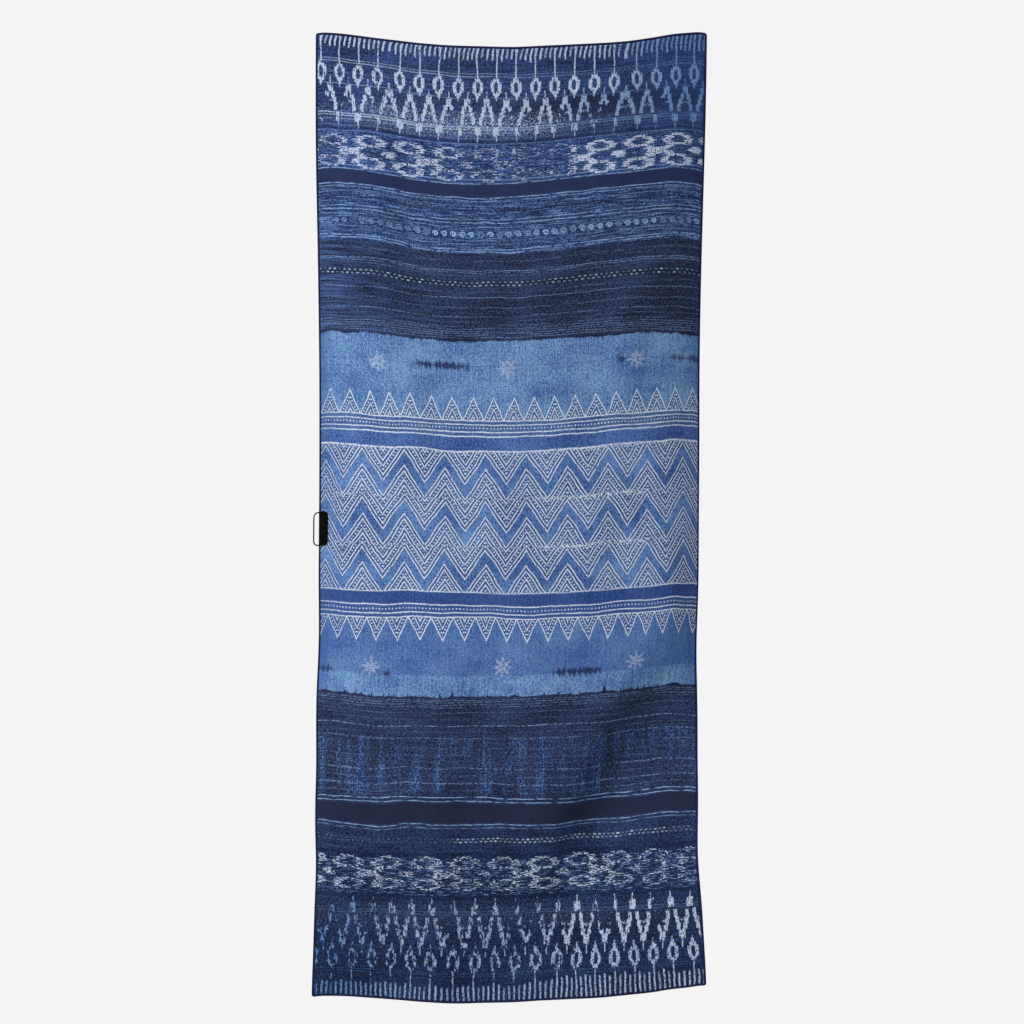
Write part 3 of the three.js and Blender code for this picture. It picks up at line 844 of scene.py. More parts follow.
LOWER_FIELD = SimpleNamespace(
    edge=1249.0,
    way=-1.0,
    smears_down=1204.0,
    smears=[
        (0, 0.8), (34, 0.8), (38, 0), (134, 0), (140, 0.85), (148, 0.8), (154, 0), (460, 0),
        (466, 0.9), (552, 0.95), (558, 0),
    ],
    faint_lines=[],
    stars=(110.0, 256.0, 1191.0),
    strip=(1030.0, 1072.0),
    border=[(1049, 2.2, 0.4), (1073, 1.9, 1.0), (1088, 1.9, 1.0), (1096, 1.9, 1.0)],
    dots_down=1080.5,
    points=1142.0,
    teeth=(42.0, 39.35),
    teeth_drifts=[
        (0, 0), (165, 0), (205, 5.6), (248, 10.7), (290, 13.5), (411, 15.5), (605, 14), (642, 10),
        (674, 2), (712, 0),
    ],
)


def teeth(tree, across, drop, phase, pitch):
    """Masks of a row of triangles: their outlines, dots and inner chevrons, and their whole inside.

    drop is the distance from the points' level towards the triangles' base."""
    shifted = put(tree, "Math SUBTRACT", across, phase)
    beside = put(tree, "Math PINGPONG", shifted, pitch / 2)
    inside = put(tree, "Math MULTIPLY_ADD", beside, -TOOTH_SLOPE, drop)
    lines = printed_lines(tree, inside, TOOTH_LINES, -4, TOOTH_HEIGHT)
    past = put(tree, "Math SUBTRACT", inside, TOOTH_DOTS)
    dots = slanted_dots(tree, beside, drop, TOOTH_SLOPE, past, 6.4, 1.5)
    based = put(tree, "MapRange", drop, TOOTH_HEIGHT + 0.5, TOOTH_HEIGHT - 0.5)
    body = put(tree, "MapRange", inside, 2.0, 5.0)
    return all_of(tree, any_of(tree, lines, dots), based), all_of(tree, body, based)


def darned_stars(tree, cloth, phase, pitch, middle):
    """Mask of plain eight-pointed stars, darned with short level stitches of loose thread."""
    _, x = cells(tree, put(tree, "Math ADD", cloth.across, pitch / 2 - phase), pitch)
    y = put(tree, "Math SUBTRACT", cloth.down, middle)
    radius = distance_from(tree, x, y)
    angle = put(tree, "Math ARCTAN2", y, x)
    turned = put(tree, "Math PINGPONG", angle, math.pi / 8)
    ray_off = put(tree, "Math MULTIPLY", turned, radius)
    bundle = put(tree, "MapRange", radius, 3.0, 23.0, 4.6, 0.9)
    past = put(tree, "Math SUBTRACT", ray_off, bundle)
    rays = put(tree, "MapRange", past, 0.9, -0.7)
    ended = put(tree, "MapRange", radius, 24.0, 16.0)
    stitches = threads(tree, cloth.drawn, 7.0, 1.7, 0.0, 37.0)
    return all_of(tree, broken(tree, all_of(tree, rays, ended), stitches, 0.36, 0.56), 0.75)


def smears(tree, cloth, rows, middle):
    """Mask of dark dye smears along one level, by chart rows of their strength over the width."""
    away = put(tree, "Math ABSOLUTE", put(tree, "Math SUBTRACT", cloth.down, middle))
    drips = threads(tree, cloth.drawn, 4.5, 60.0, 2.0, 43.0)
    reach = put(tree, "MapRange", drips, 0.35, 0.7, 0.2 * SMEAR_HALF, 2.2 * SMEAR_HALF)
    lobe = put(tree, "MapRange", put(tree, "Math SUBTRACT", away, reach), 2.0, -2.5)
    mask = all_of(tree, lobe, faded(tree, cloth.across, rows))
    return broken(tree, mask, cloth.grain, 0.02, 0.3)


def ragged_dark(tree, cloth, past):
    """Mask of the dark dye that runs a little way over a light field's edge, along its threads."""
    waves = threads(tree, cloth.drawn, 30.0, 400.0, 2.0, 5.7)
    slow = put(tree, "MapRange", waves, 0.3, 0.75, -1.0, 4.0)
    drips = threads(tree, cloth.drawn, 5.0, 400.0, 1.0, 7.9)
    long_drips = put(tree, "MapRange", drips, 0.64, 0.8, 0.0, 9.0)
    reach = put(tree, "Math ADD", slow, long_drips)
    left = put(tree, "Math SUBTRACT", past, reach)
    return put(tree, "MapRange", left, 2.6, 0.2)


def field_ground(tree, cloth):
    """Light indigo with fine streaks along the warp, slow uneven washing and small stains."""
    ground = dyed(tree, cloth, "#3C629E", "#8AB3DC", 0.45, 0.3, 1.0, 1.2, 1.0)
    patches = threads(tree, cloth.drawn, 34.0, 20.0, 3.0, 91.0)
    stains = put(tree, "MapRange", patches, 0.58, 0.76, 0.0, 0.5)
    ground = laid_over(tree, ground, "#2F4E94", stains)
    left = faded(tree, cloth.across, [(0, 0.7), (14, 0.5), (34, 0.0), (730, 0.0), (762, 0.4)])
    return laid_over(tree, ground, "#3A5CA0", left)


def strip_ground(tree, cloth):
    """Plain mid-blue strip with darker and lighter upright patches."""
    return dyed(tree, cloth, "#2A4280", "#6489C6", 0.45, 0.3, 0.7, 1.1, 1.0)


def edged_print(tree, cloth, ground, field, drop):
    """A light field's ground with its border lines, their row of dots and its row of teeth."""
    border = field.border
    evened = drifted(tree, cloth.across, field.teeth_drifts)
    marks, bodies = teeth(tree, evened, drop, *field.teeth)
    lines = printed_lines(tree, cloth.down, border, border[0][0] - 7, border[-1][0] + 6)
    off_row = put(tree, "Math SUBTRACT", cloth.down, field.dots_down)
    dots = dot_row(tree, cloth.across, off_row, 6.5, 1.5, 0.55)
    marks = broken(tree, any_of(tree, marks, lines, dots), cloth.grain, 0.0, 0.28)
    between = stripe(tree, cloth.down, border[0][0], border[-1][0])
    shadow = all_of(tree, any_of(tree, bodies, between), 0.55)
    ground = laid_over(tree, ground, WAX_SHADOW, shadow)
    ends = faded(tree, cloth.across, [(0, 0.5), (45, 0.75), (80, 1.0), (762, 1.0)])
    return laid_over(tree, ground, CHALK, all_of(tree, marks, ends))


def light_field(tree, cloth, ground, field):
    """A light field's smears and darned stars, its strip, its edged print and its ragged edge."""
    down = cloth.down
    level = field.smears_down
    ground = laid_over(tree, ground, SMEAR, smears(tree, cloth, field.smears, level))
    ground = lined(tree, down, ground, "#2C4A88", [(field.faint_lines, level - 13, level + 17)])
    ground = laid_over(tree, ground, THREAD, darned_stars(tree, cloth, *field.stars))
    ground = laid_over(tree, ground, strip_ground(tree, cloth), stripe(tree, down, *field.strip))
    drop = put(tree, "Math MULTIPLY_ADD", down, field.way, -field.way * field.points)
    ground = edged_print(tree, cloth, ground, field, drop)
    past = put(tree, "Math MULTIPLY_ADD", down, field.way, -field.way * field.edge)
    return laid_over(tree, ground, "#222A46", ragged_dark(tree, cloth, past))


def upper_field(tree, cloth):
    """Light field with darned stars, then a row of teeth standing on border lines, and a strip."""
    ground = light_field(tree, cloth, field_ground(tree, cloth), UPPER_FIELD)
    last = [([UPPER_END_LINE], 770, 780)]
    return lined(tree, cloth.down, ground, CHALK, last, (cloth.grain, 0.02, 0.4))


def lower_field(tree, cloth):
    """Strip, border lines with teeth hanging from them, and the lower light field."""
    upper_part = put(tree, "MapRange", cloth.down, 1209.0, 1206.0, 0.0, 0.45)
    ground = laid_over(tree, field_ground(tree, cloth), "#34549A", upper_part)
    return light_field(tree, cloth, ground, LOWER_FIELD)


# Batik chevrons: three blocks, each with lines and dots nested over and under a plain zigzag
CHEVRON_TOP = 777.0
CHEVRON_BLOCK = 92.0
CHEVRON_END = 1049.0
CHEVRON_PITCH = 78.4
CHEVRON_PEAK = 15.0
CHEVRON_SLOPE = 1.48
ZIGZAG_MIDDLE = 19.5
ZIGZAG_WIDTH = 29.0
NEST_REPEAT = 27.5
NEST_LINES = [(4.5, 3.6, 1.0), (15.2, 3.6, 1.0)]
NEST_DOTS = 24.3


def chevrons(tree, cloth):
    """Blocks of chevrons, drawn in wax before dyeing, so their lines stay white."""
    across = cloth.across
    down = cloth.down
    ground = dyed(tree, cloth, "#2C4B88", "#76A0D6", 0.45, 0.25, 0.7, 1.4, 1.0)
    evened = drifted(tree, across, [(0, 0), (120, 0), (175, 4), (640, 4), (690, 0), (762, 0)])
    from_peak = put(tree, "Math SUBTRACT", evened, CHEVRON_PEAK)
    beside = put(tree, "Math PINGPONG", from_peak, CHEVRON_PITCH / 2)
    from_top = put(tree, "Math SUBTRACT", down, CHEVRON_TOP)
    in_block = put(tree, "Math FLOORED_MODULO", from_top, CHEVRON_BLOCK)
    level = put(tree, "Math MULTIPLY_ADD", beside, -CHEVRON_SLOPE, in_block)
    away = put(tree, "Math ABSOLUTE", put(tree, "Math SUBTRACT", level, ZIGZAG_MIDDLE))
    into_nest = put(tree, "Math SUBTRACT", away, ZIGZAG_WIDTH / 2 - NEST_LINES[0][0])
    in_nest = put(tree, "MapRange", into_nest, -0.5, 0.5)
    ring = put(tree, "Math FLOORED_MODULO", into_nest, NEST_REPEAT)
    lines = printed_lines(tree, ring, NEST_LINES, -1, NEST_REPEAT)
    past = put(tree, "Math SUBTRACT", ring, NEST_DOTS)
    dots = slanted_dots(tree, beside, in_block, CHEVRON_SLOPE, past, 6.6, 1.6)
    ends = faded(tree, across, [(0, 0.55), (45, 0.75), (80, 1.0), (762, 1.0)])
    marks = all_of(tree, any_of(tree, lines, dots), in_nest, ends)
    edges = printed_lines(tree, down, [(CHEVRON_TOP, 2.4, 1.0), (CHEVRON_END, 2.4, 1.0)], 770, 1056)
    marks = any_of(tree, marks, seam_blotches(tree, cloth, in_block), edges)
    marks = broken(tree, marks, cloth.grain, 0.0, 0.28)
    ground = laid_over(tree, ground, WAX_SHADOW, all_of(tree, in_nest, 0.55))
    seam = put(tree, "MapRange", in_block, 1.6, 0.4, 0.0, 0.8)
    ground = laid_over(tree, ground, MIDNIGHT, broken(tree, seam, cloth.warp, 0.38, 0.5))
    return laid_over(tree, ground, CHALK, marks)


def seam_blotches(tree, cloth, in_block):
    """Mask of spilt wax along the seams between two blocks of chevrons."""
    after = put(tree, "MapRange", in_block, 7.0, 1.0)
    before = put(tree, "MapRange", in_block, CHEVRON_BLOCK - 6.0, CHEVRON_BLOCK)
    where = [(0, 0.0), (50, 0.5), (90, 0.1), (400, 0.1), (470, 1.0), (640, 1.0), (665, 0.1), (762, 0.2)]
    near = all_of(tree, any_of(tree, after, before), faded(tree, cloth.across, where))
    return broken(tree, near, threads(tree, cloth.drawn, 7.0, 4.0, 2.0, 13.0), 0.5, 0.6)


LOWER_DARK_LINES = [
    (1253, 1.4, 0.55), (1257, 1.3, 0.6), (1262, 1.3, 0.55), (1267, 1.3, 0.45), (1278, 1.3, 0.35),
    (1290, 1.2, 0.2), (1304, 1.6, 0.8), (1316, 1.2, 0.25), (1328, 1.5, 0.5),
]
LOWER_PATCH_LINES = [
    (1348, 1.4, 0.25), (1362, 1.4, 0.25), (1374, 1.4, 0.2), (1387, 1.7, 0.6), (1402, 1.4, 0.3),
    (1416.5, 1.7, 0.7), (1430, 1.4, 0.3),
]


def lower_dark(tree, cloth):
    """Deep indigo band with fine lines, then bluer patches with upright streaks."""
    ground = dyed(tree, cloth, "#181D30", "#42537F", 0.36, 1.1, 0.4, 0.9, 1.2)
    patch_rows = [(1318, 0), (1334, 1.0), (1425, 1.0), (1445, 0.5)]
    patches = read_values(tree, cloth.down, 1249, 1450, patch_rows)
    patches = broken(tree, patches, threads(tree, cloth.drawn, 22.0, 150.0, 3.0, 97.0), 0.44, 0.7)
    streaked = dyed(tree, cloth, "#1B2850", "#6089C6", 0.16, 0.6, 1.5, 0.2, 1.8)
    ground = laid_over(tree, ground, streaked, patches)
    parts = [(LOWER_DARK_LINES, 1249, 1332), (LOWER_PATCH_LINES, 1336, 1440)]
    dashes = threads(tree, cloth.drawn, 6.0, 3.0, 0.0, 23.0)
    wears = [(dashes, 0.35, 0.6), (cloth.weft, 0.25, 0.5)]
    return lined(tree, cloth.down, ground, "#8FB0DC", parts, *wears)


LOWER_STRIPE_LINES = [(1443.5, 1.7, 0.9), (1451, 1.7, 0.85), (1496.5, 1.8, 0.85), (1503, 1.5, 0.5)]
LOWER_CHAIN_DOWN = 1526.5
LOWER_CHAIN = [
    (0, 0.2), (180, 0.12), (262, 0.2), (285, 1.0), (465, 1.0), (476, 0.3), (488, 1.0), (690, 0.8),
    (705, 0.2),
]


def lower_stripe(tree, cloth):
    """Plain dark stripe between dashed double lines, with a chain of dots under it."""
    ground = dyed(tree, cloth, "#161C30", "#3A5286", 0.3, 1.0, 0.4, 0.9, 1.2)
    dashes = threads(tree, cloth.drawn, 16.0, 3.0, 2.0, 19.0)
    parts = [(LOWER_STRIPE_LINES, 1440, 1510)]
    ground = lined(tree, cloth.down, ground, PALE_DYE, parts, (dashes, 0.36, 0.56))
    links = chain(tree, cloth, LOWER_CHAIN_DOWN, 5.6, 9.6)
    links = all_of(tree, links, faded(tree, cloth.across, LOWER_CHAIN))
    ground = laid_over(tree, ground, "#C6D6EE", links)
    plain = dyed(tree, cloth, "#1C2136", "#2B3352", 0.45, 0.3, 0.3, 0.5, 0.4)
    return laid_over(tree, ground, plain, stripe(tree, cloth.down, 1455.5, 1492.5))


def plain_back(tree, cloth):
    """Plain washed indigo of the side without a print."""
    return dyed(tree, cloth, "#2F446F", "#56739F", 0.45, 0.5, 0.5, 0.6, 0.8)


# Bands of the print: where each one ends down the print, its name and how it is painted
BANDS = [
    (187.0, "warp ikat rings", upper_rings),
    (261.0, "weft ikat hexagons", upper_hexagons),
    (398.0, "denim weft lines", denim_lines),
    (563.0, "deep indigo lines", dark_lines),
    (777.0, "light field and teeth", upper_field),
    (1049.0, "batik chevrons", chevrons),
    (1249.0, "teeth and light field", lower_field),
    (1440.0, "deep indigo patches", lower_dark),
    (1550.0, "dark stripe and dashes", lower_stripe),
    (1640.0, "lower weft ikat hexagons", lower_hexagons),
    (TOWEL_LENGTH, "lower warp ikat rings", lower_rings),
]


def new_material(name, map_name, roughness, specular):
    """A named material, its node tree and the places of its piece's own map."""
    material = bpy.data.materials.new(name)
    material.use_nodes = True
    tree = material.node_tree
    shader = tree.nodes["Principled BSDF"]
    shader.inputs["Roughness"].default_value = roughness
    shader.inputs["Specular IOR Level"].default_value = specular
    return material, tree, put(tree, "UVMap", uv_map=map_name)


def dress(tree, colour, strength, depth, height):
    """Gives a material's shader its colour and its fine relief, of a depth in metres."""
    shader = tree.nodes["Principled BSDF"]
    bump = put(tree, "Bump", strength, depth, None, height)
    tree.links.new(colour, shader.inputs["Base Color"])
    tree.links.new(bump, shader.inputs["Normal"])


def microfibre(name, threads_group, paint):
    """Brushed polyester microfibre, printed: matt, with a soft short nap.

    The nap is finer than a pixel, so it is drawn as coarse as it needs to show."""
    material, tree, place = new_material("brushed microfibre, " + name, "flat_mm", 0.95, 0.12)
    outputs = put(tree, "Group", place, node_tree=threads_group).node.outputs
    cloth = SimpleNamespace(**{output.name.lower(): output for output in outputs})
    nap = threads(tree, place, 1.3, 1.7, 2.0, 9.0)
    ribs = threads(tree, place, 30.0, 2.2, 1.0, 11.0)
    height = put(tree, "Math MULTIPLY_ADD", ribs, 0.6, nap)
    dress(tree, paint(tree, cloth), 0.35, 0.0004, height)
    shader = tree.nodes["Principled BSDF"]
    shader.inputs["Sheen Weight"].default_value = 0.05
    shader.inputs["Sheen Roughness"].default_value = 0.4
    return material


# Pieces
def deselect_all():
    for piece in bpy.context.selected_objects:
        piece.select_set(False)


def add_grid(name, columns, rows):
    """A new flat grid, with the share across and down of each of its vertices."""
    deselect_all()
    bpy.ops.mesh.primitive_grid_add(x_subdivisions=columns, y_subdivisions=rows, size=2)
    piece = bpy.context.object
    piece.name = name
    piece.data.name = name
    flat = read_places(piece)
    return piece, (flat[:, 0] + 1) / 2, (1 - flat[:, 1]) / 2


def read_places(piece):
    places = np.empty(len(piece.data.vertices) * 3)
    piece.data.vertices.foreach_get("co", places)
    return places.reshape(-1, 3)


def lay(piece, places):
    """Moves a piece's vertices to their places in the frame."""
    piece.data.vertices.foreach_set("co", np.asarray(places, float).ravel())
    piece.data.update()


def write_map(piece, name, across, down):
    """Gives a piece a UV map from a pair of values for each vertex."""
    uv_map = piece.data.uv_layers.new(name=name)
    corner_vertex = np.empty(len(piece.data.loops), int)
    piece.data.loops.foreach_get("vertex_index", corner_vertex)
    pairs = np.stack([across[corner_vertex], down[corner_vertex]], axis=-1)
    uv_map.data.foreach_set("uv", pairs.ravel())


def apply_modifier(piece, kind, **settings):
    deselect_all()
    piece.select_set(True)
    bpy.context.view_layer.objects.active = piece
    modifier = piece.modifiers.new(kind.title(), kind)
    for name, value in settings.items():
        setattr(modifier, name, value)
    bpy.ops.object.modifier_apply(modifier=modifier.name)


def smooth(piece):
    piece.data.polygons.foreach_set("use_smooth", [True] * len(piece.data.polygons))


def finish_tube(piece, map_name, along, around, material):
    """Gives a rolled-up grid its map and material, closes its seams and ends, and smooths it."""
    piece.data.uv_layers.remove(piece.data.uv_layers[0])
    write_map(piece, map_name, along, around)
    bpy.ops.object.mode_set(mode="EDIT")
    bpy.ops.mesh.select_all(action="SELECT")
    bpy.ops.mesh.remove_doubles(threshold=0.00001)
    bpy.ops.mesh.fill_holes(sides=0)
    bpy.ops.mesh.select_all(action="SELECT")
    bpy.ops.mesh.normals_make_consistent(inside=False)
    bpy.ops.object.mode_set(mode="OBJECT")
    smooth(piece)
    piece.data.materials.append(material)


def settle(piece, slot, *nodes):
    """Rides a finished piece on the towel in place of its solids."""
    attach(piece, "root")
    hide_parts(*nodes)


CLOTH_CELL = 6.35
EDGE_TUCK = 2.0
FRONT_ROW_END = 1049.0
STRIP_SHARE = 0.44
STRIP_MARGIN = 0.002


def print_rows():
    """Downs of the cloth mesh's rows, with even steps inside each band, and each row's band."""
    downs = [EDGE_TUCK]
    bands = []
    for index, (end, _, _) in enumerate(BANDS):
        start = downs[-1]
        last = min(end, TOWEL_LENGTH - EDGE_TUCK)
        count = round((last - start) / CLOTH_CELL)
        downs.extend(start + (last - start) * step / count for step in range(1, count + 1))
        bands.extend([index] * count)
    return np.array(downs), bands


def lay_out_for_baking(cloth, back_slot):
    """Second UV map: the print in two tall strips side by side, then the back in a narrow one."""
    flat_map = cloth.data.uv_layers["flat_mm"]
    bake_map = cloth.data.uv_layers.new(name="OFBake")
    places = np.empty(len(cloth.data.loops) * 2)
    flat_map.data.foreach_get("uv", places)
    places = places.reshape(-1, 2)
    slots = np.empty(len(cloth.data.polygons), int)
    cloth.data.polygons.foreach_get("material_index", slots)
    corners = np.empty(len(cloth.data.polygons), int)
    cloth.data.polygons.foreach_get("loop_total", corners)
    slot = np.repeat(slots, corners)
    first_lower = [end for end, _, _ in BANDS].index(FRONT_ROW_END) + 1
    across = places[:, 0] / TOWEL_WIDTH
    lower = slot >= first_lower
    back = slot == back_slot
    strip = STRIP_SHARE * lower + across * (STRIP_SHARE - 2 * STRIP_MARGIN) + STRIP_MARGIN
    down = (places[:, 1] - FRONT_ROW_END * lower) / FRONT_ROW_END
    back_width = 1 - 2 * STRIP_SHARE - 2 * STRIP_MARGIN
    back_strip = 2 * STRIP_SHARE + STRIP_MARGIN + across * back_width
    baked = np.stack([
        np.where(back, back_strip, strip),
        1 - np.where(back, places[:, 1] / TOWEL_LENGTH, down),
    ], axis=-1)
    bake_map.data.foreach_set("uv", baked.ravel())


def printed_cloth():
    """The towel's cloth: one thin sheet on its folds, printed on the side that faces the viewer."""
    downs, bands = print_rows()
    columns = round(TOWEL_WIDTH / CLOTH_CELL)
    cloth, share_across, share_down = add_grid("towel_cloth", columns, len(bands))
    lefts = EDGE_TUCK + np.arange(columns + 1) / columns * (TOWEL_WIDTH - 2 * EDGE_TUCK)
    column = np.rint(share_across * columns).astype(int)
    row = np.rint(share_down * len(bands)).astype(int)
    from_left = lefts[column]
    print_down = downs[row]
    dips = dip_table(lefts, downs)[row, column]
    lay(cloth, hang(from_left - HALF_WIDTH, print_down + dips, np.zeros(len(row))))
    cloth.data.uv_layers.remove(cloth.data.uv_layers[0])
    write_map(cloth, "flat_mm", from_left, print_down)
    paints = [(name, paint) for _, name, paint in BANDS] + [("plain back", plain_back)]
    threads_group = worn_threads()
    for name, paint in paints:
        cloth.data.materials.append(microfibre(name, threads_group, paint))
    upper_row = [min(row[vertex] for vertex in polygon.vertices) for polygon in cloth.data.polygons]
    cloth.data.polygons.foreach_set("material_index", [bands[index] for index in upper_row])
    smooth(cloth)
    back_slot = len(BANDS)
    apply_modifier(
        cloth, "SOLIDIFY", thickness=CLOTH_THICKNESS * MM, offset=0.0,
        material_offset=back_slot, material_offset_rim=back_slot,
    )
    lay_out_for_baking(cloth, back_slot)
    settle(cloth, "cloth", "printed_cloth")


def dip_table(lefts, downs):
    """Dip of the print's lines at each row and column of the cloth's mesh."""
    at_rows = [read_table(WAVER, column + 1, downs) for column in range(len(WAVER_ACROSS))]
    return np.array([read_table(list(zip(WAVER_ACROSS, dips)), 1, lefts) for dips in zip(*at_rows)])


BINDING_STEP = 4.5
BINDING_SIDES = 12
BINDING_FULLNESS = 0.6
EDGE_OVERHANG = 0.4
RIB_PITCH = 1.5


def towel_outline():
    """Places round the towel's edge against the clock, with each one's way out of the towel."""
    radius = BINDING_WIDTH + EDGE_OVERHANG
    places = []
    corners = [
        (HALF_WIDTH - radius, TOWEL_LENGTH - radius, -90),
        (HALF_WIDTH - radius, radius, 0),
        (radius - HALF_WIDTH, radius, 90),
        (radius - HALF_WIDTH, TOWEL_LENGTH - radius, 180),
    ]
    for index, (across, down, first_angle) in enumerate(corners):
        for turn in range(0, 91, 15):
            angle = math.radians(first_angle + turn)
            way = (math.cos(angle), -math.sin(angle))
            places.append((across + radius * way[0], down + radius * way[1], *way))
        next_across, next_down, next_angle = corners[(index + 1) % 4]
        next_way = (math.cos(math.radians(next_angle)), -math.sin(math.radians(next_angle)))
        start = np.array(places[-1][:2])
        end = np.array([next_across + radius * next_way[0], next_down + radius * next_way[1]])
        count = round(np.hypot(*(end - start)) / BINDING_STEP)
        for step in range(1, count):
            across_step, down_step = start + (end - start) * step / count
            places.append((across_step, down_step, *next_way))
    return np.array(places)


def overlocked_binding():
    """Narrow edge strip that wraps the cloth all round, covered with close overlock stitches."""
    outline = towel_outline()
    outline = np.concatenate([outline, outline[:1]])
    rings = len(outline) - 1
    binding, share_along, share_around = add_grid("towel_binding", rings, BINDING_SIDES)
    ring = np.rint(share_along * rings).astype(int)
    angle = -share_around * math.tau
    outward = np.sign(np.cos(angle)) * np.abs(np.cos(angle)) ** BINDING_FULLNESS
    upward = np.sign(np.sin(angle)) * np.abs(np.sin(angle)) ** BINDING_FULLNESS
    inward = BINDING_WIDTH / 2 * (1 - outward)
    across = outline[ring, 0] - outline[ring, 2] * inward
    down = outline[ring, 1] - outline[ring, 3] * inward
    lay(binding, hang(across, down, BINDING_THICKNESS / 2 * upward))
    steps = np.hypot(*np.diff(outline[:, :2], axis=0).T)
    along = np.concatenate([[0.0], np.cumsum(steps)])
    girth = 2 * (BINDING_WIDTH + BINDING_THICKNESS)
    finish_tube(binding, "edge_mm", along[ring], share_around * girth, overlock_stitches())
    settle(binding, "binding", "binding_top", "binding_bottom", "binding_left", "binding_right")


def overlock_stitches():
    """Dark navy polyester overlock thread: close ribs across the edge, with a soft thread shine.

    The thread is 0.5 mm thick, and its ribs are drawn 1.5 mm apart so that they show."""
    material, tree, place = new_material("overlocked polyester thread", "edge_mm", 0.75, 0.15)
    parts = put(tree, "SeparateXYZ", place).node
    leaning = put(tree, "Math MULTIPLY_ADD", parts.outputs["Y"], 0.3, parts.outputs["X"])
    ribs = put(tree, "Math PINGPONG", leaning, RIB_PITCH / 2)
    fuzz = threads(tree, place, 1.1, 3.0, 2.0, 4.0)
    worn = put(tree, "MapRange", threads(tree, place, 60.0, 9.0, 2.0, 8.0), 0.3, 0.75)
    height = put(tree, "Math MULTIPLY_ADD", fuzz, 0.5, ribs)
    dress(tree, laid_over(tree, linear("#0D1038"), "#1A2050", worn), 0.5, 0.0005, height)
    return material


PATCH_REAR = 1.5
PATCH_ROUNDING = 0.5


def rubber_patch():
    """Small moulded rubber patch, sewn over the left edge, its outer corners square to the edge."""
    left = PATCH_INSET - HALF_WIDTH
    deselect_all()
    bpy.ops.mesh.primitive_plane_add(size=1)
    patch = bpy.context.object
    patch.name = "towel_patch"
    patch.data.name = "towel_patch"
    flat = read_places(patch)
    flat[:, 0] = left + (flat[:, 0] + 0.5) * PATCH_WIDTH
    flat[:, 1] = -(PATCH_TOP + (0.5 - flat[:, 1]) * PATCH_HEIGHT)
    lay(patch, flat)
    bpy.ops.object.mode_set(mode="EDIT")
    bpy.ops.mesh.select_all(action="DESELECT")
    bpy.ops.object.mode_set(mode="OBJECT")
    for vertex in patch.data.vertices:
        vertex.select = vertex.co.x > left + PATCH_WIDTH / 2
    bpy.ops.object.mode_set(mode="EDIT")
    bpy.ops.mesh.select_mode(type="VERT")
    bpy.ops.mesh.bevel(offset=PATCH_CORNER, segments=8, affect="VERTICES")
    bpy.ops.mesh.select_all(action="SELECT")
    bpy.ops.mesh.extrude_region_move(TRANSFORM_OT_translate={"value": (0, 0, PATCH_THICKNESS)})
    bpy.ops.mesh.inset(thickness=PATCH_ROUNDING * 0.35, depth=0)
    cuts = [((0, -PATCH_TOP - PATCH_HEIGHT * cut / 12, 0), (0, 1, 0)) for cut in range(1, 12)]
    cuts += [((left + PATCH_WIDTH * cut / 4, 0, 0), (1, 0, 0)) for cut in range(1, 4)]
    for place, way in cuts:
        bpy.ops.mesh.select_all(action="SELECT")
        bpy.ops.mesh.bisect(plane_co=place, plane_no=way)
    bpy.ops.mesh.select_all(action="SELECT")
    bpy.ops.mesh.remove_doubles(threshold=0.001)
    bpy.ops.mesh.normals_make_consistent(inside=False)
    bpy.ops.object.mode_set(mode="OBJECT")
    apply_modifier(
        patch, "BEVEL", width=PATCH_ROUNDING, segments=3, limit_method="ANGLE",
        angle_limit=math.radians(50),
    )
    flat = read_places(patch)
    lay(patch, hang(flat[:, 0], -flat[:, 1], PATCH_REAR + flat[:, 2]))
    write_map(patch, "patch_mm", flat[:, 0] - left, -flat[:, 1] - PATCH_TOP)
    deselect_all()
    patch.select_set(True)
    bpy.context.view_layer.objects.active = patch
    bpy.ops.object.shade_smooth_by_angle(angle=math.radians(35))
    patch.data.materials.append(moulded_rubber())
    settle(patch, "patch", "rubber_patch")


def moulded_rubber():
    """Black moulded silicone rubber: satin, with a fine leathery grain from its mould."""
    material, tree, place = new_material("moulded silicone rubber", "patch_mm", 0.5, 0.04)
    grain = threads(tree, place, 0.9, 0.9, 3.0, 6.0)
    haze = put(tree, "MapRange", threads(tree, place, 14.0, 9.0, 2.0, 2.0), 0.35, 0.75)
    dress(tree, laid_over(tree, linear("#020203"), "#060608", haze), 0.25, 0.0002, grain)
    shader = tree.nodes["Principled BSDF"]
    shader.inputs["IOR"].default_value = 1.43
    rough = put(tree, "MapRange", grain, 0.3, 0.7, 0.42, 0.6)
    tree.links.new(rough, shader.inputs["Roughness"])
    return material


LOOP_STEPS = 96
LOOP_SIDES = 12
LOOP_OUT = 2.8
LOOK = 0.6
BRAID_PITCH = 1.6


def loop_route():
    """Middle line of the hang loop on the flat towel, from its upper end to its lower end."""
    radius = LOOP_THICKNESS / 2
    start = PATCH_INSET - HALF_WIDTH - PIECE_GAP
    high = PATCH_TOP + LOOP_END_INSET + radius
    low = PATCH_TOP + PATCH_HEIGHT - LOOP_END_INSET - radius
    far = radius - HALF_WIDTH - LOOP_PROUD
    route = [(start, high), (far + LOOP_CORNER, high)]
    corners = [(high + LOOP_CORNER, range(10, 91, 10)), (low - LOOP_CORNER, range(90, 181, 10))]
    for middle, turns in corners:
        for angle in map(math.radians, turns):
            across = far + LOOP_CORNER * (1 - math.sin(angle))
            route.append((across, middle - LOOP_CORNER * math.cos(angle)))
    route.append((start, low))
    return np.array(route)


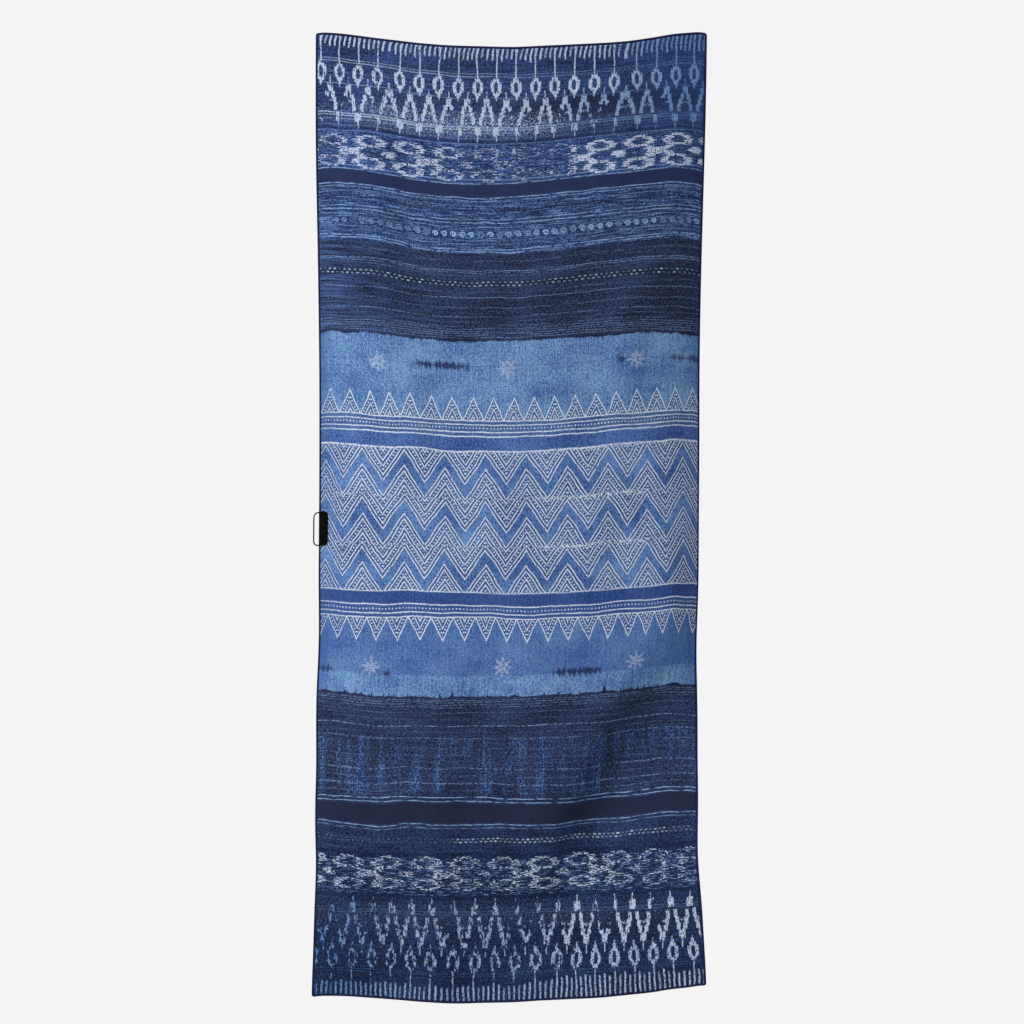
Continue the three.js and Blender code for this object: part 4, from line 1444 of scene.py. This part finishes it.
def hang_loop():
    """Braided elastic tube that stands out of the edge as an oval loop."""
    route = loop_route()
    reach = np.concatenate([[0.0], np.cumsum(np.hypot(*np.diff(route, axis=0).T))])
    loop, along, around = add_grid("towel_loop", LOOP_STEPS, LOOP_SIDES)
    at = along * reach[-1]
    places = [[np.interp(at + ahead, reach, axis) for axis in route.T] for ahead in (-LOOK, 0, LOOK)]
    behind, (across, down), ahead = np.array(places)
    way = ahead - behind
    way /= np.hypot(*way)
    radius = LOOP_THICKNESS / 2
    angle = around * math.tau
    beside = radius * np.cos(angle)
    out = LOOP_OUT + radius * np.sin(angle)
    lay(loop, hang(across + way[1] * beside, down - way[0] * beside, out))
    finish_tube(loop, "braid_mm", at, around * math.tau * radius, braided_elastic())
    settle(loop, "loop", "hang_loop")


def braided_elastic():
    """Black braided elastic cord: two sets of strands crossing, matt, with a little sheen.

    The strands are 0.4 mm wide, and are drawn as a 1.6 mm braid so that they show."""
    material, tree, place = new_material("braided elastic cord", "braid_mm", 0.8, 0.15)
    parts = put(tree, "SeparateXYZ", place).node
    strands = []
    for crossing in ("ADD", "SUBTRACT"):
        lean = put(tree, "Math " + crossing, parts.outputs["X"], parts.outputs["Y"])
        strands.append(put(tree, "Math PINGPONG", lean, BRAID_PITCH / 2))
    height = any_of(tree, *strands)
    # Painted shade: the cord's colour follows the braid's relief, darker in the grooves between strands
    # and lighter on their crests
    share = put(tree, "MapRange", height, 0.2, BRAID_PITCH / 2)
    dress(tree, laid_over(tree, linear("#040406"), "#101014", share), 0.6, 0.0003, height)
    return material


# Camera, lights and floor
CAMERA_DISTANCE = 5.2
CAMERA_HEIGHT = -0.893
PICTURE_WIDTH = 1.966
SENSOR_WIDTH = 36.0
PALE_AIR = (0.905, 0.905, 0.905, 1.0)
FLOOR_HEIGHT = -2.2
FLOOR_RADIUS = 1.35
FLOOR_DEPTH = 0.02
# Soft lights: name, watts, size, place and what each one is turned to
LIGHTS = [
    ("soft key", 113.0, 1.6, (-3.4, -2.6, 0.3), (0, 0, -0.95)),
    ("soft top", 120.0, 2.4, (0, 0.2, 3.2), (0, 0.2, FLOOR_HEIGHT)),
]


def place_camera():
    """Long lens straight in front of the towel, level with its middle."""
    location = (0.001, -CAMERA_DISTANCE, CAMERA_HEIGHT)
    bpy.ops.object.camera_add(location=location, rotation=(math.pi / 2, 0, 0))
    camera = bpy.context.object
    camera.data.sensor_width = SENSOR_WIDTH
    camera.data.lens = SENSOR_WIDTH * CAMERA_DISTANCE / PICTURE_WIDTH
    bpy.context.scene.camera = camera


def add_light(name, energy, size, location, target):
    bpy.ops.object.light_add(type="AREA", location=location)
    light = bpy.context.object
    light.name = name
    light.data.shape = "DISK"
    light.data.size = size
    light.data.energy = energy
    light.rotation_euler = (Vector(target) - Vector(location)).to_track_quat("-Z", "Y").to_euler()


def light_studio():
    """Pale studio air all round, a wide soft light from the left and one over the floor."""
    world = bpy.data.worlds.new("pale studio")
    bpy.context.scene.world = world
    world.use_nodes = True
    tree = world.node_tree
    tree.nodes.clear()
    seen = put(tree, "Background", PALE_AIR, 1.0)
    lit = put(tree, "Background", (0.95, 0.97, 1.0, 1.0), 0.41)
    straight = put(tree, "LightPath")
    shared = put(tree, "MixShader", straight, lit, seen)
    tree.links.new(shared, tree.nodes.new("ShaderNodeOutputWorld").inputs["Surface"])
    for light in LIGHTS:
        add_light(*light)


def add_floor():
    """Plain pale floor under the towel, wide enough for its shadow."""
    deselect_all()
    bpy.ops.mesh.primitive_cylinder_add(
        vertices=96, radius=FLOOR_RADIUS, depth=FLOOR_DEPTH,
        location=(0, 0, FLOOR_HEIGHT - FLOOR_DEPTH / 2),
    )
    floor = bpy.context.object
    floor.name = "floor"
    material = bpy.data.materials.new("pale matt paint")
    material.use_nodes = True
    shader = material.node_tree.nodes["Principled BSDF"]
    shader.inputs["Base Color"].default_value = linear("#F4F4F3")
    shader.inputs["Roughness"].default_value = 0.9
    floor.data.materials.append(material)


place_camera()
light_studio()
add_floor()
printed_cloth()
overlocked_binding()
rubber_patch()
hang_loop()
bpy.context.scene.view_settings.view_transform = "Standard"
